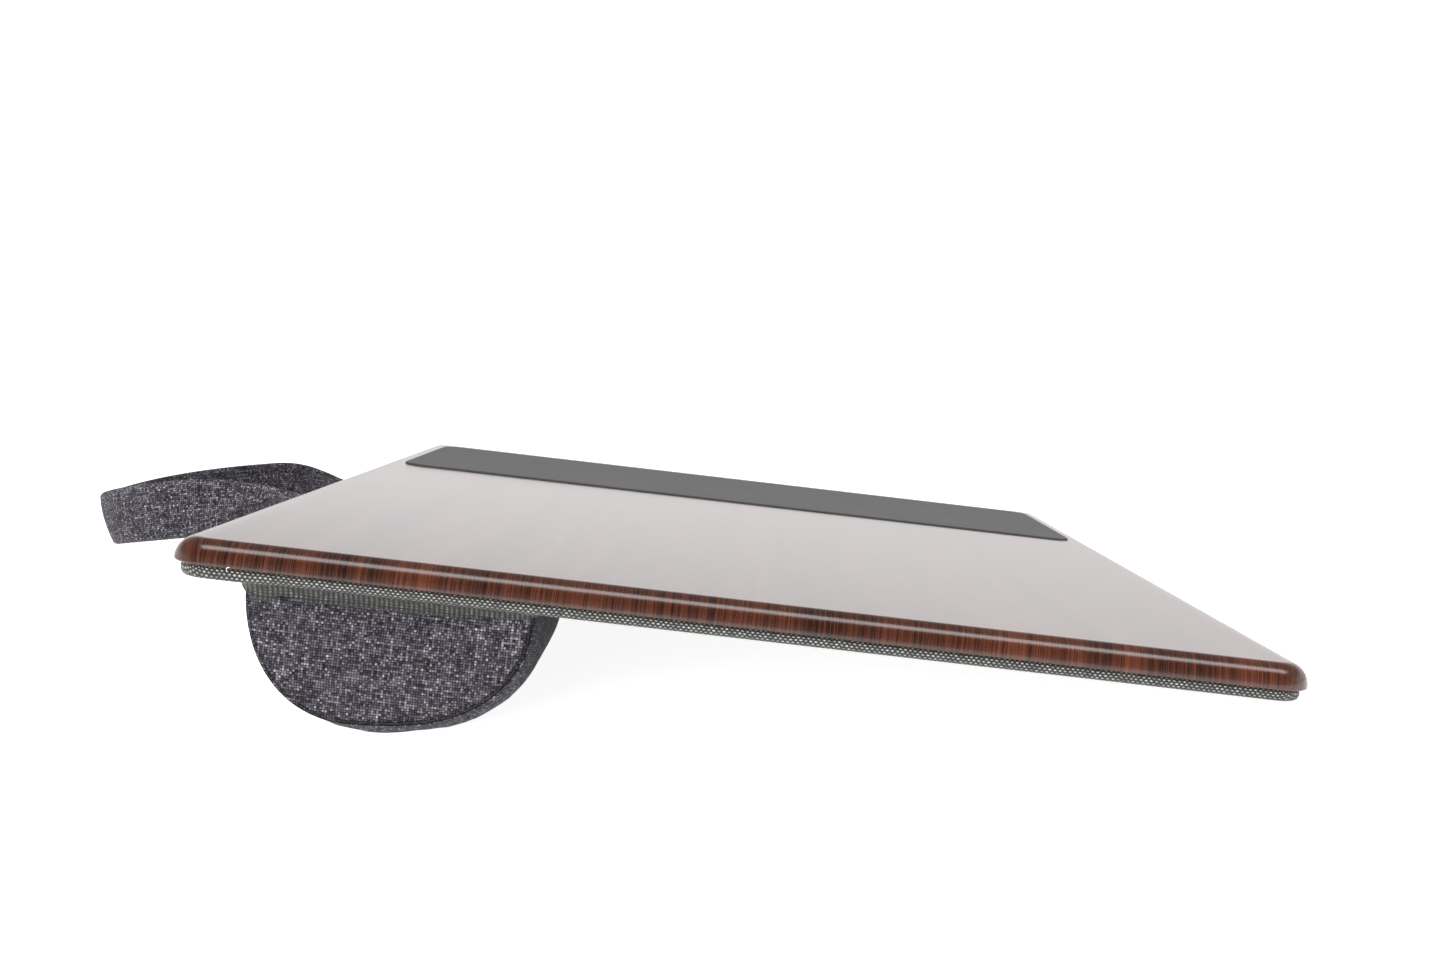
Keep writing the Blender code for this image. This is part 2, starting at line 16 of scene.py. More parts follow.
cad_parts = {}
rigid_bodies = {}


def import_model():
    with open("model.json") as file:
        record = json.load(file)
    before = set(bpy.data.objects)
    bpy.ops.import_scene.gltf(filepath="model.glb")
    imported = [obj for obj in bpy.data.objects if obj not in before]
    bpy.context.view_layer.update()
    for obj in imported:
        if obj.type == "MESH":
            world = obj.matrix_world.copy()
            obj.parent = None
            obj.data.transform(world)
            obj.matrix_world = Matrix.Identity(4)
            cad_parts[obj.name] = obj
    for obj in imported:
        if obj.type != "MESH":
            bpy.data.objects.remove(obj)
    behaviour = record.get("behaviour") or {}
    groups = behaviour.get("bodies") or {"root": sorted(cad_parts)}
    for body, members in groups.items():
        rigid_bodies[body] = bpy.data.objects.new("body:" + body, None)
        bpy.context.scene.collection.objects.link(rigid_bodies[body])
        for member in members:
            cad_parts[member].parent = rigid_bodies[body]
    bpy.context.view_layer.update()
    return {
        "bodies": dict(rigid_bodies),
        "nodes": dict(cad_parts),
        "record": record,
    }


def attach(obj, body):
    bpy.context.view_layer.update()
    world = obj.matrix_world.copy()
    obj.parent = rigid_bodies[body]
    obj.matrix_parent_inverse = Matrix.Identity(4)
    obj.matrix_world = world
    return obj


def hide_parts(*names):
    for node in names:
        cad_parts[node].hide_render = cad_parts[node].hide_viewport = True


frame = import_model()
nodes = frame["nodes"]
BODY = next(iter(frame["bodies"]))
MM = 0.001
print("solids:", ", ".join(sorted(nodes)))

# %% [markdown]
# The desk stands tilted, because its rear side is raised. It is much easier to shape its pieces in the desk's
# own frame, where the work surface is flat: x runs to the right, y to the rear and z up off the surface. The
# record states a face on the work surface and the way it looks, and that is enough to turn one frame into the
# other.

# %% The desk's own frame
surface = next(mount for mount in frame["record"]["mounts"] if mount["name"] == "work_surface")
SURFACE_Y, SURFACE_Z = surface["pos_m"][1:]
TILT = math.atan2(-surface["axis"][1], surface["axis"][2])
COS, SIN = math.cos(TILT), math.sin(TILT)


def to_world(points):
    """Points of the desk's frame in the world: turned about x by the tilt, then moved to the surface's
    middle."""
    x, y, z = np.moveaxis(np.asarray(points, float), -1, 0)
    return np.stack([x, SURFACE_Y + y * COS - z * SIN, SURFACE_Z + y * SIN + z * COS], axis=-1)


print(f"tilt {math.degrees(TILT):.2f} degrees, surface {SURFACE_Z / MM:.1f} mm above the table at its middle")

# %% [markdown]
# Every piece here is a skin over rows of points. A grid of quads can be closed into a tube, and it takes a
# map of its surface with it, in metres, so that a weave or a wood grain comes out at its real size. The map
# is what a tailor would call the pattern piece, laid flat. A closed tube's map has one column more than its
# points where the pattern piece has two edges and the tube one seam.

# %% A skin over a grid of points


def grid_corners(field, closed):
    """The four corners of every quad of a grid, in turn: (i, j), (i, j + 1), (i + 1, j + 1) and (i + 1, j).
    A closed grid's last column is followed by its first."""
    if closed:
        field = np.concatenate([field, field[:, :1]], axis=1)
    return np.stack([field[:-1, :-1], field[:-1, 1:], field[1:, 1:], field[1:, :-1]], axis=2)


def skin(name, points, laid=None, closed=True, caps=(True, True), values=None):
    """A mesh over rows of points, with faces outward where the rows climb and each runs anticlockwise. laid
    is the map in metres, and values are named numbers at each point. The first and last rows can be filled
    by a cap each."""
    rows, columns = points.shape[:2]
    numbers = np.arange(rows * columns).reshape(rows, columns)
    faces = grid_corners(numbers, closed).reshape(-1, 4).tolist()
    if caps[0]:
        faces.append(numbers[0, ::-1].tolist())
    if caps[1]:
        faces.append(numbers[-1].tolist())
    mesh = bpy.data.meshes.new(name)
    mesh.from_pydata(to_world(points).reshape(-1, 3), [], faces)
    if laid is not None:
        wrapped = laid.shape[1] > columns
        flat = grid_corners(laid, closed and not wrapped).reshape(-1, 2)
        ends = [laid[0, columns - 1::-1]] if caps[0] else []
        ends += [laid[-1, :columns]] if caps[1] else []
        layer = mesh.uv_layers.new(name="laid")
        layer.data.foreach_set("uv", np.concatenate([flat, *ends]).astype(np.float32).ravel())
    for title, field in (values or {}).items():
        field = np.broadcast_to(field, (rows, columns)).astype(np.float32)
        mesh.attributes.new(title, "FLOAT", "POINT").data.foreach_set("value", field.ravel())
    mesh.shade_smooth()
    return mesh


print("quads of a closed grid of 3 by 4 points:", len(grid_corners(np.zeros((3, 4)), True).reshape(-1, 4)))

# %% Put a piece in the scene


def put_in_scene(name, data):
    """A new object at the origin."""
    thing = bpy.data.objects.new(name, data)
    bpy.context.scene.collection.objects.link(thing)
    return thing


def add_piece(mesh, material, slot, *replaced):
    """A finished piece of the desk: it rides on the body and stands for the solids that it replaces."""
    piece = put_in_scene(mesh.name, mesh)
    mesh.materials.append(material)
    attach(piece, BODY)
    if replaced:
        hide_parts(*replaced)
    print(f"{mesh.name}: {len(mesh.polygons)} faces")
    return piece


# %% [markdown]
# A finish is a small tree of nodes: places on the piece go in, a colour and a height come out. Short
# functions keep such a tree readable. One makes a node, a few do sums, and the others give a place, a random
# value, or a colour for a value.

# %% Nodes and sums


def add_node(tree, kind, inputs=None, **settings):
    """A node with its settings, and its sockets linked or set."""
    node = tree.nodes.new(f"ShaderNode{kind}")
    for name, value in settings.items():
        setattr(node, name, value)
    for name, value in (inputs or {}).items():
        if isinstance(value, bpy.types.NodeSocket):
            tree.links.new(value, node.inputs[name])
        else:
            node.inputs[name].default_value = value
    return node


def maths(tree, operation, *values):
    """One sum, as its result's socket."""
    return add_node(tree, "Math", dict(enumerate(values)), operation=operation).outputs[0]


def plus(tree, *values):
    """Two values added."""
    return maths(tree, "ADD", *values)


def times(tree, *values):
    """Two values multiplied."""
    return maths(tree, "MULTIPLY", *values)


def minus(tree, *values):
    """The second value taken from the first."""
    return maths(tree, "SUBTRACT", *values)


def in_cell(tree, value):
    """Where a value lies between two whole numbers: -0.5 just past the lower one, 0.5 just short of the
    upper one."""
    return minus(tree, maths(tree, "FRACT", value), 0.5)


def fall_off(tree, value, steepness, top=1.0):
    """A rounded hill: the top, less the steepness times the value's square."""
    return minus(tree, top, times(tree, times(tree, value, value), steepness))


# %% Places on a piece


def object_place(tree):
    """The place on the piece, in metres."""
    return add_node(tree, "TexCoord").outputs["Object"]


def map_place(tree):
    """The place on the piece's map, in metres."""
    return add_node(tree, "UVMap", uv_map="laid").outputs["UV"]


def point_value(tree, name):
    """A named number of the points."""
    return add_node(tree, "Attribute", attribute_name=name).outputs["Fac"]


def parts_of(tree, vector):
    """The X, Y and Z of a vector."""
    return add_node(tree, "SeparateXYZ", {"Vector": vector}).outputs


def vector_of(tree, **parts):
    """A vector of X, Y and Z, each 0 where it isn't given."""
    return add_node(tree, "CombineXYZ", parts).outputs[0]


# %% Random values


def noise(tree, vector, scale, detail=2.0, roughness=0.5):
    """Soft random values between 0 and 1 over a vector."""
    inputs = {"Vector": vector, "Scale": scale, "Detail": detail, "Roughness": roughness}
    return add_node(tree, "TexNoise", inputs).outputs["Fac"]


def stretched(tree, vector, x, y, z=1.0):
    """A vector with its parts multiplied."""
    return add_node(tree, "Mapping", {"Vector": vector, "Scale": (x, y, z)}).outputs["Vector"]


def wavering(tree, vector, scale, detail, reach):
    """A vector that drifts by up to about the reach, because no yarn lies quite straight."""
    drift = add_node(tree, "TexNoise", {"Vector": vector, "Scale": scale, "Detail": detail}).outputs["Color"]
    drift = add_node(tree, "VectorMath", {0: drift, "Scale": reach}, operation="SCALE").outputs["Vector"]
    return add_node(tree, "VectorMath", {0: vector, 1: drift}, operation="ADD").outputs["Vector"]


# %% Colours


def ramp(tree, value, stops):
    """The colour of a value between stops of (position, (red, green, blue))."""
    node = add_node(tree, "ValToRGB", {"Fac": value})
    elements = node.color_ramp.elements
    while len(elements) < len(stops):
        elements.new(0.5)
    for element, (position, colour) in zip(elements, stops):
        element.position = position
        element.color = (*colour, 1)
    return node.outputs["Color"]


def grey(value):
    """A colour without a hue."""
    return value, value, value


def tinted(tree, first, second, share=1.0):
    """One colour multiplied by another, wholly or by a share."""
    inputs = {0: share, 6: first, 7: second}
    return add_node(tree, "Mix", inputs, data_type="RGBA", blend_type="MULTIPLY").outputs[2]


def blended(tree, share, first, second):
    """The first value where the share is 0, the second where it is 1."""
    return add_node(tree, "Mix", {"Factor": share, "A": first, "B": second}).outputs[0]


# %% A material from its tree


def new_material(name):
    """An empty Principled material: itself, its tree, its shader."""
    material = bpy.data.materials.new(name)
    material.use_nodes = True
    tree = material.node_tree
    return material, tree, tree.nodes["Principled BSDF"]


def finish_with(tree, shader, colour, height=None, depth=0.0, strength=1.0, **sockets):
    """Links the colour, sets the other sockets and adds a bump from a height in metres."""
    tree.links.new(colour, shader.inputs["Base Color"])
    for name, value in sockets.items():
        shader.inputs[name.replace("_", " ")].default_value = value
    if height is not None:
        bump = add_node(tree, "Bump", {"Height": height, "Distance": depth, "Strength": strength})
        tree.links.new(bump.outputs["Normal"], shader.inputs["Normal"])


# %% [markdown]
# The board is 8 mm fibreboard. Its top edge is machined to a large rounding, and a printed film is drawn over
# the top and round the edge, in one piece. So the grain of the film runs along the desk and turns down over
# the short ends, where it shows as upright streaks. The board could be a box with a bevel, but then the grain
# would have to be fitted to the edge afterwards. Outlines that are stacked by a profile give the shape and
# the film's map together: flat on top, rolled out over the edge.

# %% Rounded outlines
CORNER_STEPS = 12
ALONG_X = 180
ALONG_Y = 120


def outline(half_x, half_y, radius):
    """A rounded rectangle, anticlockwise, starting with its rear right corner, and the outward direction at
    each point. A corner is its centre plus the radius times the direction. A side runs straight from corner
    to corner."""
    centres = np.array([(1, 1), (-1, 1), (-1, -1), (1, -1)]) * (half_x - radius, half_y - radius)
    places, ways = [], []
    for quarter in range(4):
        turn = np.linspace(0, math.pi / 2, CORNER_STEPS + 1) + quarter * math.pi / 2
        way = np.stack([np.cos(turn), np.sin(turn)], axis=-1)
        count = ALONG_Y if quarter % 2 else ALONG_X
        share = np.linspace(0, 1, count + 1)[1:-1, None]
        side = centres[quarter] + (centres[(quarter + 1) % 4] - centres[quarter]) * share + radius * way[-1]
        places += [centres[quarter] + radius * way, side]
        ways += [way, np.repeat(way[-1:], count - 1, axis=0)]
    return np.concatenate(places), np.concatenate(ways)


def arc(centre_inset, centre_level, radius, start, end, steps):
    """Part of a circle in a profile of (inset, level): degrees run from 0, outward, to 90, up."""
    turn = np.radians(np.linspace(start, end, steps + 1))
    return np.stack([centre_inset - radius * np.cos(turn), centre_level + radius * np.sin(turn)], axis=-1)


print("points of an outline:", len(outline(1, 1, 0.1)[0]))

# %% Stack outlines by a profile


def stack(half_x, half_y, radius, profile, least_radius=0.5 * MM):
    """Outlines stacked by a profile of (inset, level), and their map. The last row is mapped where it lies,
    and every other row as far out from there as the profile is long."""
    steps = np.hypot(*np.diff(profile, axis=0).T)
    run = np.concatenate([[0], np.cumsum(steps)])
    out = np.abs(run - run[-1]) - profile[-1][0]
    rows, laid = [], []
    for (inset, level), reach in zip(profile, out):
        place, way = outline(half_x - inset, half_y - inset, max(radius - inset, least_radius))
        rows.append(np.column_stack([place, np.full(len(place), level)]))
        laid.append(place + way * (reach + inset))
    return np.array(rows), np.array(laid)


flat_disc = stack(0.1, 0.1, 0.1, np.array([(0.05, 0), (0, 0)]))[1]
print("a flat ring's map is its own outline:", bool(np.allclose(np.ptp(flat_disc[-1], axis=0), 0.2)))

# %% The board
BOARD_X, BOARD_Y = 275 * MM, 175 * MM
BOARD_CORNER = 12 * MM
BOARD_BOTTOM = -7.8 * MM
BOTTOM_INSET = 40 * MM
TOP_ROUND, LOW_ROUND = 7 * MM, 0.6 * MM
PAD_X, PAD_Y = 77 * MM, 164 * MM
PAD_MIDDLE = 174 * MM
PAD_CORNER = 10 * MM
RECESS_DEPTH = 1.2 * MM
GAP = 0.3 * MM

board_profile = np.concatenate([
    [(BOTTOM_INSET, BOARD_BOTTOM)],
    arc(LOW_ROUND, BOARD_BOTTOM + LOW_ROUND, LOW_ROUND, -90, 0, 4),
    arc(TOP_ROUND, -TOP_ROUND, TOP_ROUND, 0, 90, 14),
])
board_rows, board_laid = stack(BOARD_X, BOARD_Y, BOARD_CORNER, board_profile)
rim = outline(PAD_X + GAP, PAD_Y + GAP, PAD_CORNER + GAP)[0] + (PAD_MIDDLE, 0)
recess = [np.column_stack([rim, np.full(len(rim), level)]) for level in (0, 0, -RECESS_DEPTH, -RECESS_DEPTH)]
board_points = np.concatenate([board_rows, recess])
board_laid = np.concatenate([board_laid, [rim] * 4])
board_mesh = skin("board", board_points, board_laid)
print("board's rows:", len(board_points), "of which the recess takes", len(recess))

# %% [markdown]
# The film is reddish brown with near-black streaks of many widths. A picture of wood would do, but noise that
# is stretched fifty times or more along the desk gives streaks at any size. Two widths of them make the
# grain, and a third one, as fine as hair, makes the pores. The satin gloss does the rest: seen at a grazing
# angle, the dark top mirrors the bright room and reads pale grey.

# %% Wood-grain film
GRAIN_WANDER = 6 * MM
BROAD_SHARE, FINE_SHARE = 0.34, 0.66
STREAKS = {"broad": (1.5, 70, 3, 0.6), "fine": (9, 1250, 4, 0.7), "hair": (26, 2900, 2, 0.6)}
film, tree, shader = new_material("wood_grain_film")
place = map_place(tree)
wander = noise(tree, stretched(tree, place, 9, 9), 1.0, 3)
shift = vector_of(tree, Y=times(tree, minus(tree, wander, 0.5), GRAIN_WANDER))
moved = add_node(tree, "VectorMath", {0: place, 1: shift}, operation="ADD").outputs["Vector"]
streaks = {name: noise(tree, stretched(tree, moved, along, across), 1.0, detail, roughness)
           for name, (along, across, detail, roughness) in STREAKS.items()}
grain = plus(tree, times(tree, streaks["broad"], BROAD_SHARE), times(tree, streaks["fine"], FINE_SHARE))
wood = ramp(tree, grain, [
    (0.34, (0.008, 0.0055, 0.0055)), (0.42, (0.023, 0.0085, 0.006)), (0.49, (0.058, 0.0175, 0.0095)),
    (0.57, (0.09, 0.026, 0.013)), (0.68, (0.13, 0.041, 0.02))])
pores = ramp(tree, streaks["hair"], [(0.38, (0.35, 0.3, 0.3)), (0.5, grey(1))])
finish_with(tree, shader, tinted(tree, wood, pores), grain, 0.01 * MM, 0.5, Roughness=0.2, IOR=1.5)
add_piece(board_mesh, film, "wood_grain_film", "top_board")

# %% [markdown]
# A sliver of the film has come loose at the lower edge, near the rear left corner. It is a thin pale strip
# that sticks down over the hem and curls to the right. A short tube carried along a bent line is enough for
# it. The line runs forward as it climbs, so the tube's ring leans with it.

# %% Loose sliver of the film
SLIVER_LINE = np.array([(-274.7, 156.1, -8.7), (-274.9, 156.2, -7.9), (-274.9, 155.9, -7.5),
                        (-274.8, 155.3, -7.3), (-274.7, 154.2, -7.0)]) * MM
SLIVER_HALF = 0.2 * MM
SLIVER_SIDES = 8
SLIVER_SLANT = (0, 0.6, 0.8)

turn = np.linspace(0, 2 * math.pi, SLIVER_SIDES + 1)[:-1, None]
sliver_ring = SLIVER_HALF * (np.cos(turn) * (1, 0, 0) + np.sin(turn) * SLIVER_SLANT)
sliver_mesh = skin("film_sliver", SLIVER_LINE[:, None, :] + sliver_ring[None, :, :])
pale, tree, shader = new_material("film_underside")
paper = ramp(tree, noise(tree, object_place(tree), 900.0), [
    (0.3, (0.55, 0.5, 0.46)), (0.7, (0.8, 0.76, 0.72))])
finish_with(tree, shader, paper, Roughness=0.5)
add_piece(sliver_mesh, pale, "wood_grain_film")

# %% [markdown]
# The mouse pad is a sheet of dark grey grained material, 1.7 mm thick, glued into a shallow recess. It stands
# not quite a millimetre proud, with a slightly broken edge. It is made as the board is, and a soft cell
# pattern gives its top the grain.

# %% The mouse pad
PAD_TOP = 0.8 * MM
PAD_THICKNESS = 1.7 * MM
PAD_EDGE = 0.3 * MM
PAD_UNDER_INSET, PAD_TOP_INSET = 20 * MM, 3 * MM

pad_profile = np.concatenate([
    [(PAD_UNDER_INSET, PAD_TOP - PAD_THICKNESS), (0, PAD_TOP - PAD_THICKNESS)],
    arc(PAD_EDGE, PAD_TOP - PAD_EDGE, PAD_EDGE, 0, 90, 4),
    [(PAD_TOP_INSET, PAD_TOP)],
])
pad_points, pad_laid = stack(PAD_X, PAD_Y, PAD_CORNER, pad_profile)
pad_points[..., 0] += PAD_MIDDLE
pad_finish, tree, shader = new_material("mouse_surface")
place = object_place(tree)
pebbles = add_node(tree, "TexVoronoi", {"Vector": place, "Scale": 900.0}, feature="SMOOTH_F1")
clouds = ramp(tree, noise(tree, place, 30, 3), [(0.3, (0.073, 0.072, 0.076)), (0.7, (0.081, 0.080, 0.084))])
finish_with(tree, shader, clouds, pebbles.outputs["Distance"], 0.12 * MM, 0.6, Roughness=0.62, IOR=1.45)
add_piece(skin("pad", pad_points, pad_laid), pad_finish, "mouse_surface", "mouse_pad")

# %% [markdown]
# The bolster is a long cushion, flat on top where it is closed off, and round below. Its cross-section could
# be drawn point by point. A formula is better, because the cover's collar has to follow the same form: a
# flattened circle whose rear and front halves differ in length. The bag is fullest along its body and slimmer
# at the end seams. At the cover its front side is tucked in, and along the middle it has a slight waist.

# %% How the bolster's form changes
BOLSTER_X = 262 * MM
BOLSTER_MIDDLE = 115 * MM
REAR_HALF, FRONT_HALF = 39.4 * MM, 56 * MM
DEPTH = 46 * MM
COVER_BOTTOM = -11.4 * MM
REAR_SQUARENESS, FRONT_SQUARENESS = 2.1, 2.38
SWELL, SWELL_RUN = 4.4 * MM, 19 * MM
REAR_SWELL_SHARE = 0.3
FULL_FROM, FULL_OVER = 0.9, 1.2
TUCK, TUCK_DEPTH = 5 * MM, 16 * MM
WAIST, WAIST_START, WAIST_RUN = 4.8 * MM, 58 * MM, 95 * MM


def smooth(value):
    """0 up to 0, 1 from 1 on, and a smooth rise between."""
    share = np.clip(value, 0, 1)
    return share * share * (3 - 2 * share)


def swell_share(x):
    """How full the bolster is at x: 0 at the end seams, 1 along the body, rising as a quarter of a sine."""
    return np.sin(math.pi / 2 * np.clip((BOLSTER_X - np.abs(x)) / SWELL_RUN, 0, 1))


def front_tuck(x, z):
    """How far the front side draws in again at x and z: most at the cover, nothing at the tuck's depth."""
    share = np.clip(1 - (COVER_BOTTOM - z) / TUCK_DEPTH, 0, 1)
    return TUCK * swell_share(x) * share * share


def waist(x):
    """How far the front side stays back at x: nothing near the ends, and the same all along the middle."""
    return WAIST * smooth((BOLSTER_X - np.abs(x) - WAIST_START) / WAIST_RUN)


print("fullness 5 mm from an end seam:", round(float(swell_share(BOLSTER_X - 5 * MM)), 2))

# %% The bolster's section


def section(x, turn, inset=0.0):
    """The bolster's surface at x and at an angle from 0, rear, through the foot to pi, front. y and z are a
    half length and the depth times a power of the cosine and of the sine, which squares off the circle. Both
    lengths lose the inset, and at the ends the swell too, which the rear side loses only a share of."""
    cosine, sine = np.cos(turn), np.sin(turn)
    fuller = REAR_SWELL_SHARE + (1 - REAR_SWELL_SHARE) * smooth((FULL_FROM - cosine) / FULL_OVER)
    less = SWELL * fuller * (1 - swell_share(x)) + inset
    half = np.where(cosine > 0, REAR_HALF, FRONT_HALF - waist(x)) - less
    power = np.where(cosine > 0, 2 / REAR_SQUARENESS, 2 / FRONT_SQUARENESS)
    y = BOLSTER_MIDDLE + half * np.sign(cosine) * np.abs(cosine) ** power
    z = COVER_BOTTOM - (DEPTH - less) * np.clip(sine, 0, 1) ** power
    y = np.where(cosine < 0, y + front_tuck(x, z), y)
    return np.stack([x + 0 * y, y, z], axis=-1)


def settle(points, clearance=0.0):
    """Lifts whatever would lie below the table straight up to it."""
    height = SURFACE_Z + points[..., 1] * SIN + points[..., 2] * COS
    lift = np.clip(clearance - height, 0, None)
    return points + lift[..., None] * np.array([0, SIN, COS])


print("bolster's foot at its middle, mm:", (section(np.array([0.0]), math.pi / 2) / MM).round(1))

# %% [markdown]
# Under the board lies a thin panel, wrapped in a coarse fabric. The fabric is turned in over the panel's top
# as a hem, comes down round its side, runs flat across the underside and is drawn down round the bolster as a
# collar. A cloth simulation could stretch it, but that is one taut sheet with a hole in it, so one grid makes
# it, from the hem's edge to the collar's. First come the hem and the tray's side.

# %% The cover's tray
COVER_TOP = -8.1 * MM
COVER_INSET = 2.2 * MM
COVER_TOP_ROUND, COVER_LOW_ROUND = 1.2 * MM, 2 * MM
HEM_WIDTH = 22 * MM

tray_profile = np.concatenate([
    [(COVER_INSET + HEM_WIDTH, COVER_TOP)],
    arc(COVER_INSET + COVER_TOP_ROUND, COVER_TOP - COVER_TOP_ROUND, COVER_TOP_ROUND, 90, 0, 6),
    arc(COVER_INSET + COVER_LOW_ROUND, COVER_BOTTOM + COVER_LOW_ROUND, COVER_LOW_ROUND, 0, -90, 8),
])
tray_rows, tray_laid = stack(BOARD_X, BOARD_Y, BOARD_CORNER, tray_profile, COVER_LOW_ROUND)
print("tray's rows:", len(tray_rows))

# %% [markdown]
# The collar is a quarter of an arch that turns from the flat underside down along the bolster. At the near
# end its lower edge is uneven: it hangs lowest towards the rear and comes up at both corners. So it has a
# list of how far it drops at which place across the desk.

# %% The collar
COLLAR_SPREAD = np.array([6.0, 1.2]) * MM
COLLAR_ROOM = 0.9 * MM
COLLAR_STEPS = 10
COLLAR_LEAST = 1.2 * MM
COLLAR_EDGE = np.array([(57.5, 1.5), (61.5, 2.9), (73.5, 4.7), (98, 5.1), (121.5, 5.1), (145, 6.4),
                        (148, 6.3), (151.2, 5.6), (153.3, 4.2), (155.4, 1.8)]) * MM
END_RUN = 8 * MM
FRONT_FROM = -0.9
MAP_SHARE = 0.75
LIP_IN, LIP_UP = 0.5 * MM, 0.4 * MM
COLLAR_Y = BOLSTER_MIDDLE + (REAR_HALF - FRONT_HALF) / 2
COLLAR_HALF = (REAR_HALF + FRONT_HALF) / 2


def collar_row(turn):
    """The collar at an angle from 0, flat, to a quarter turn, upright: an outline round the bolster that
    draws in by the sine, drops by one less the cosine and follows the bolster's swell, tuck and waist. Also
    the outward direction at each point."""
    off_x, off_y = COLLAR_ROOM + COLLAR_SPREAD * (1 - math.sin(turn))
    ring, way = outline(BOLSTER_X + off_x, COLLAR_HALF + off_y, off_y)
    x, y = ring[:, 0], ring[:, 1] + COLLAR_Y
    at_end = smooth((np.abs(x) - BOLSTER_X + END_RUN) / END_RUN)
    drop = COLLAR_LEAST + (np.interp(y, *COLLAR_EDGE.T) - COLLAR_LEAST) * at_end
    level = COVER_BOTTOM - drop * (1 - math.cos(turn))
    rear_share = np.clip((y - COLLAR_Y) / COLLAR_HALF, -1, 1)
    y = y - SWELL * (1 - swell_share(x)) * np.where(rear_share > 0, REAR_SWELL_SHARE, 1) * rear_share
    y = y + np.where(rear_share < FRONT_FROM, front_tuck(x, level) + waist(x), 0)
    return np.column_stack([x, y, level]), way


collar_turns = np.linspace(0, math.pi / 2, COLLAR_STEPS + 1)
collar_rows, ways = zip(*(collar_row(turn) for turn in collar_turns))
collar_laid = [collar_rows[0][:, :2] - way * turn * MAP_SHARE * COLLAR_SPREAD[0]
               for turn, way in zip(collar_turns, ways)]
lip = collar_rows[-1] - np.column_stack([ways[-1] * LIP_IN, np.full(len(ways[-1]), -LIP_UP)])
cover_points = np.concatenate([tray_rows, collar_rows, [lip]])[::-1]
cover_laid = np.concatenate([tray_laid, collar_laid, collar_laid[-1:]])[::-1]
print("cover's rows:", len(cover_points))

# %% [markdown]
# Fabric is never quite flat. It sags a little, and more at the rear, where nothing holds it up. The strap's
# two ends come out between the board and the cover, and press it down there. The desk stands on the cover's
# front edge, so nothing of it may end up below the table.

# %% Sag, strap and table
SAG, REAR_SAG = 0.2 * MM, 0.6 * MM
REAR_FROM, REAR_RUN = 138 * MM, 16 * MM
STRAP_X = 52 * MM
STRAP_LEVEL = -10.8 * MM
NOTCH_HALF, NOTCH_RUN, NOTCH_LENGTH = 16.5 * MM, 3.5 * MM, 36 * MM

across, level = cover_points[..., 1], cover_points[..., 2]
sag = SAG + REAR_SAG * smooth((across - REAR_FROM) / REAR_RUN)
level -= sag * smooth((COVER_BOTTOM + COVER_LOW_ROUND - level) / COVER_LOW_ROUND)
beside = np.abs(np.abs(cover_points[..., 0]) - STRAP_X)
pressed = np.clip((NOTCH_HALF - beside) / NOTCH_RUN, 0, 1) * (across > BOARD_Y - NOTCH_LENGTH)
level += (np.minimum(level, STRAP_LEVEL) - level) * pressed
cover_points = settle(cover_points)
print("cover's deepest sag, mm:", (sag.max() / MM).round(1))

# %% [markdown]
# Where little light gets in, a piece is darker than the lamps alone make it. That is painted shade, given as
# a number at each point, which the material then multiplies in. The cover is painted dark where it goes up
# behind the board's edge and in the crease above the collar. It is also painted darker towards the foot of
# the tray's side, and dark all down the collar and at its lip, under the tray. A second number says where the
# collar is, because the weave is pulled into ribs there.

# %% The cover's shade and ribs
# Painted shade by row: the tray's rows, then the collar's, then the lip.
HEM_SHADE = np.array([(0, 0), (5, 1), (9, 0.9), (len(tray_rows) - 1, 0.3)])
COLLAR_SHADE = np.array([(0, 0.1), (2, 0.06), (4, 0.16), (7, 0.36), (COLLAR_STEPS, 0.2)])
LIP_SHADE = 0.3

hem_shade = np.interp(np.arange(len(tray_rows)), *HEM_SHADE.T)
collar_shade = np.interp(np.arange(COLLAR_STEPS + 1), *COLLAR_SHADE.T)
cover_shade = np.concatenate([hem_shade, collar_shade, [LIP_SHADE]])[::-1, None]
cover_rib = np.concatenate([0 * hem_shade, 1 + 0 * collar_shade, [1]])[::-1, None]
cover_mesh = skin("fabric_cover", cover_points, cover_laid, caps=(False, False),
                  values={"shade": cover_shade, "rib": cover_rib})
print("cover's shade from", cover_shade.min(), "to", cover_shade.max())

# %% [markdown]
# The coarse fabric is a basket weave: pale shiny threads show as dots, 1.5 mm apart in a row, and every other
# row is shifted by half. A dot is a smooth mound over its cell of the map. On the collar the dots run
# together into ribs. Between the mounds the fabric is dark, and noise makes one dot paler than the next.

# %% Coarse fabric
DOT_PITCH = 1.55 * MM
DOT_ROW = 0.85 * MM
WAVER = 0.6 * MM
LEAST_PALE, COARSE_FLUFF = 0.35, 0.2


def coarse_mounds(tree, place):
    """The height of the dots, and on the collar of the ribs. A dot is one less the squares of the ways from
    its middle, and every other row is shifted by half a pitch. A rib isn't shifted. It is a hill along the
    row times a lower one across it, which stays up between the rows."""
    parts = parts_of(tree, place)
    across = maths(tree, "DIVIDE", parts["X"], DOT_ROW)
    along = maths(tree, "DIVIDE", parts["Y"], DOT_PITCH)
    row_shift = times(tree, maths(tree, "FLOORED_MODULO", maths(tree, "FLOOR", across), 2.0), 0.5)
    in_row, in_rib = in_cell(tree, across), in_cell(tree, along)
    in_dot = in_cell(tree, plus(tree, along, row_shift))
    dot = maths(tree, "MAXIMUM", fall_off(tree, in_row, 4.0, fall_off(tree, in_dot, 5.0)), 0.0)
    rib = times(tree, fall_off(tree, in_rib, 5.0), fall_off(tree, in_row, 2.4, 0.85))
    return blended(tree, point_value(tree, "rib"), dot, rib)


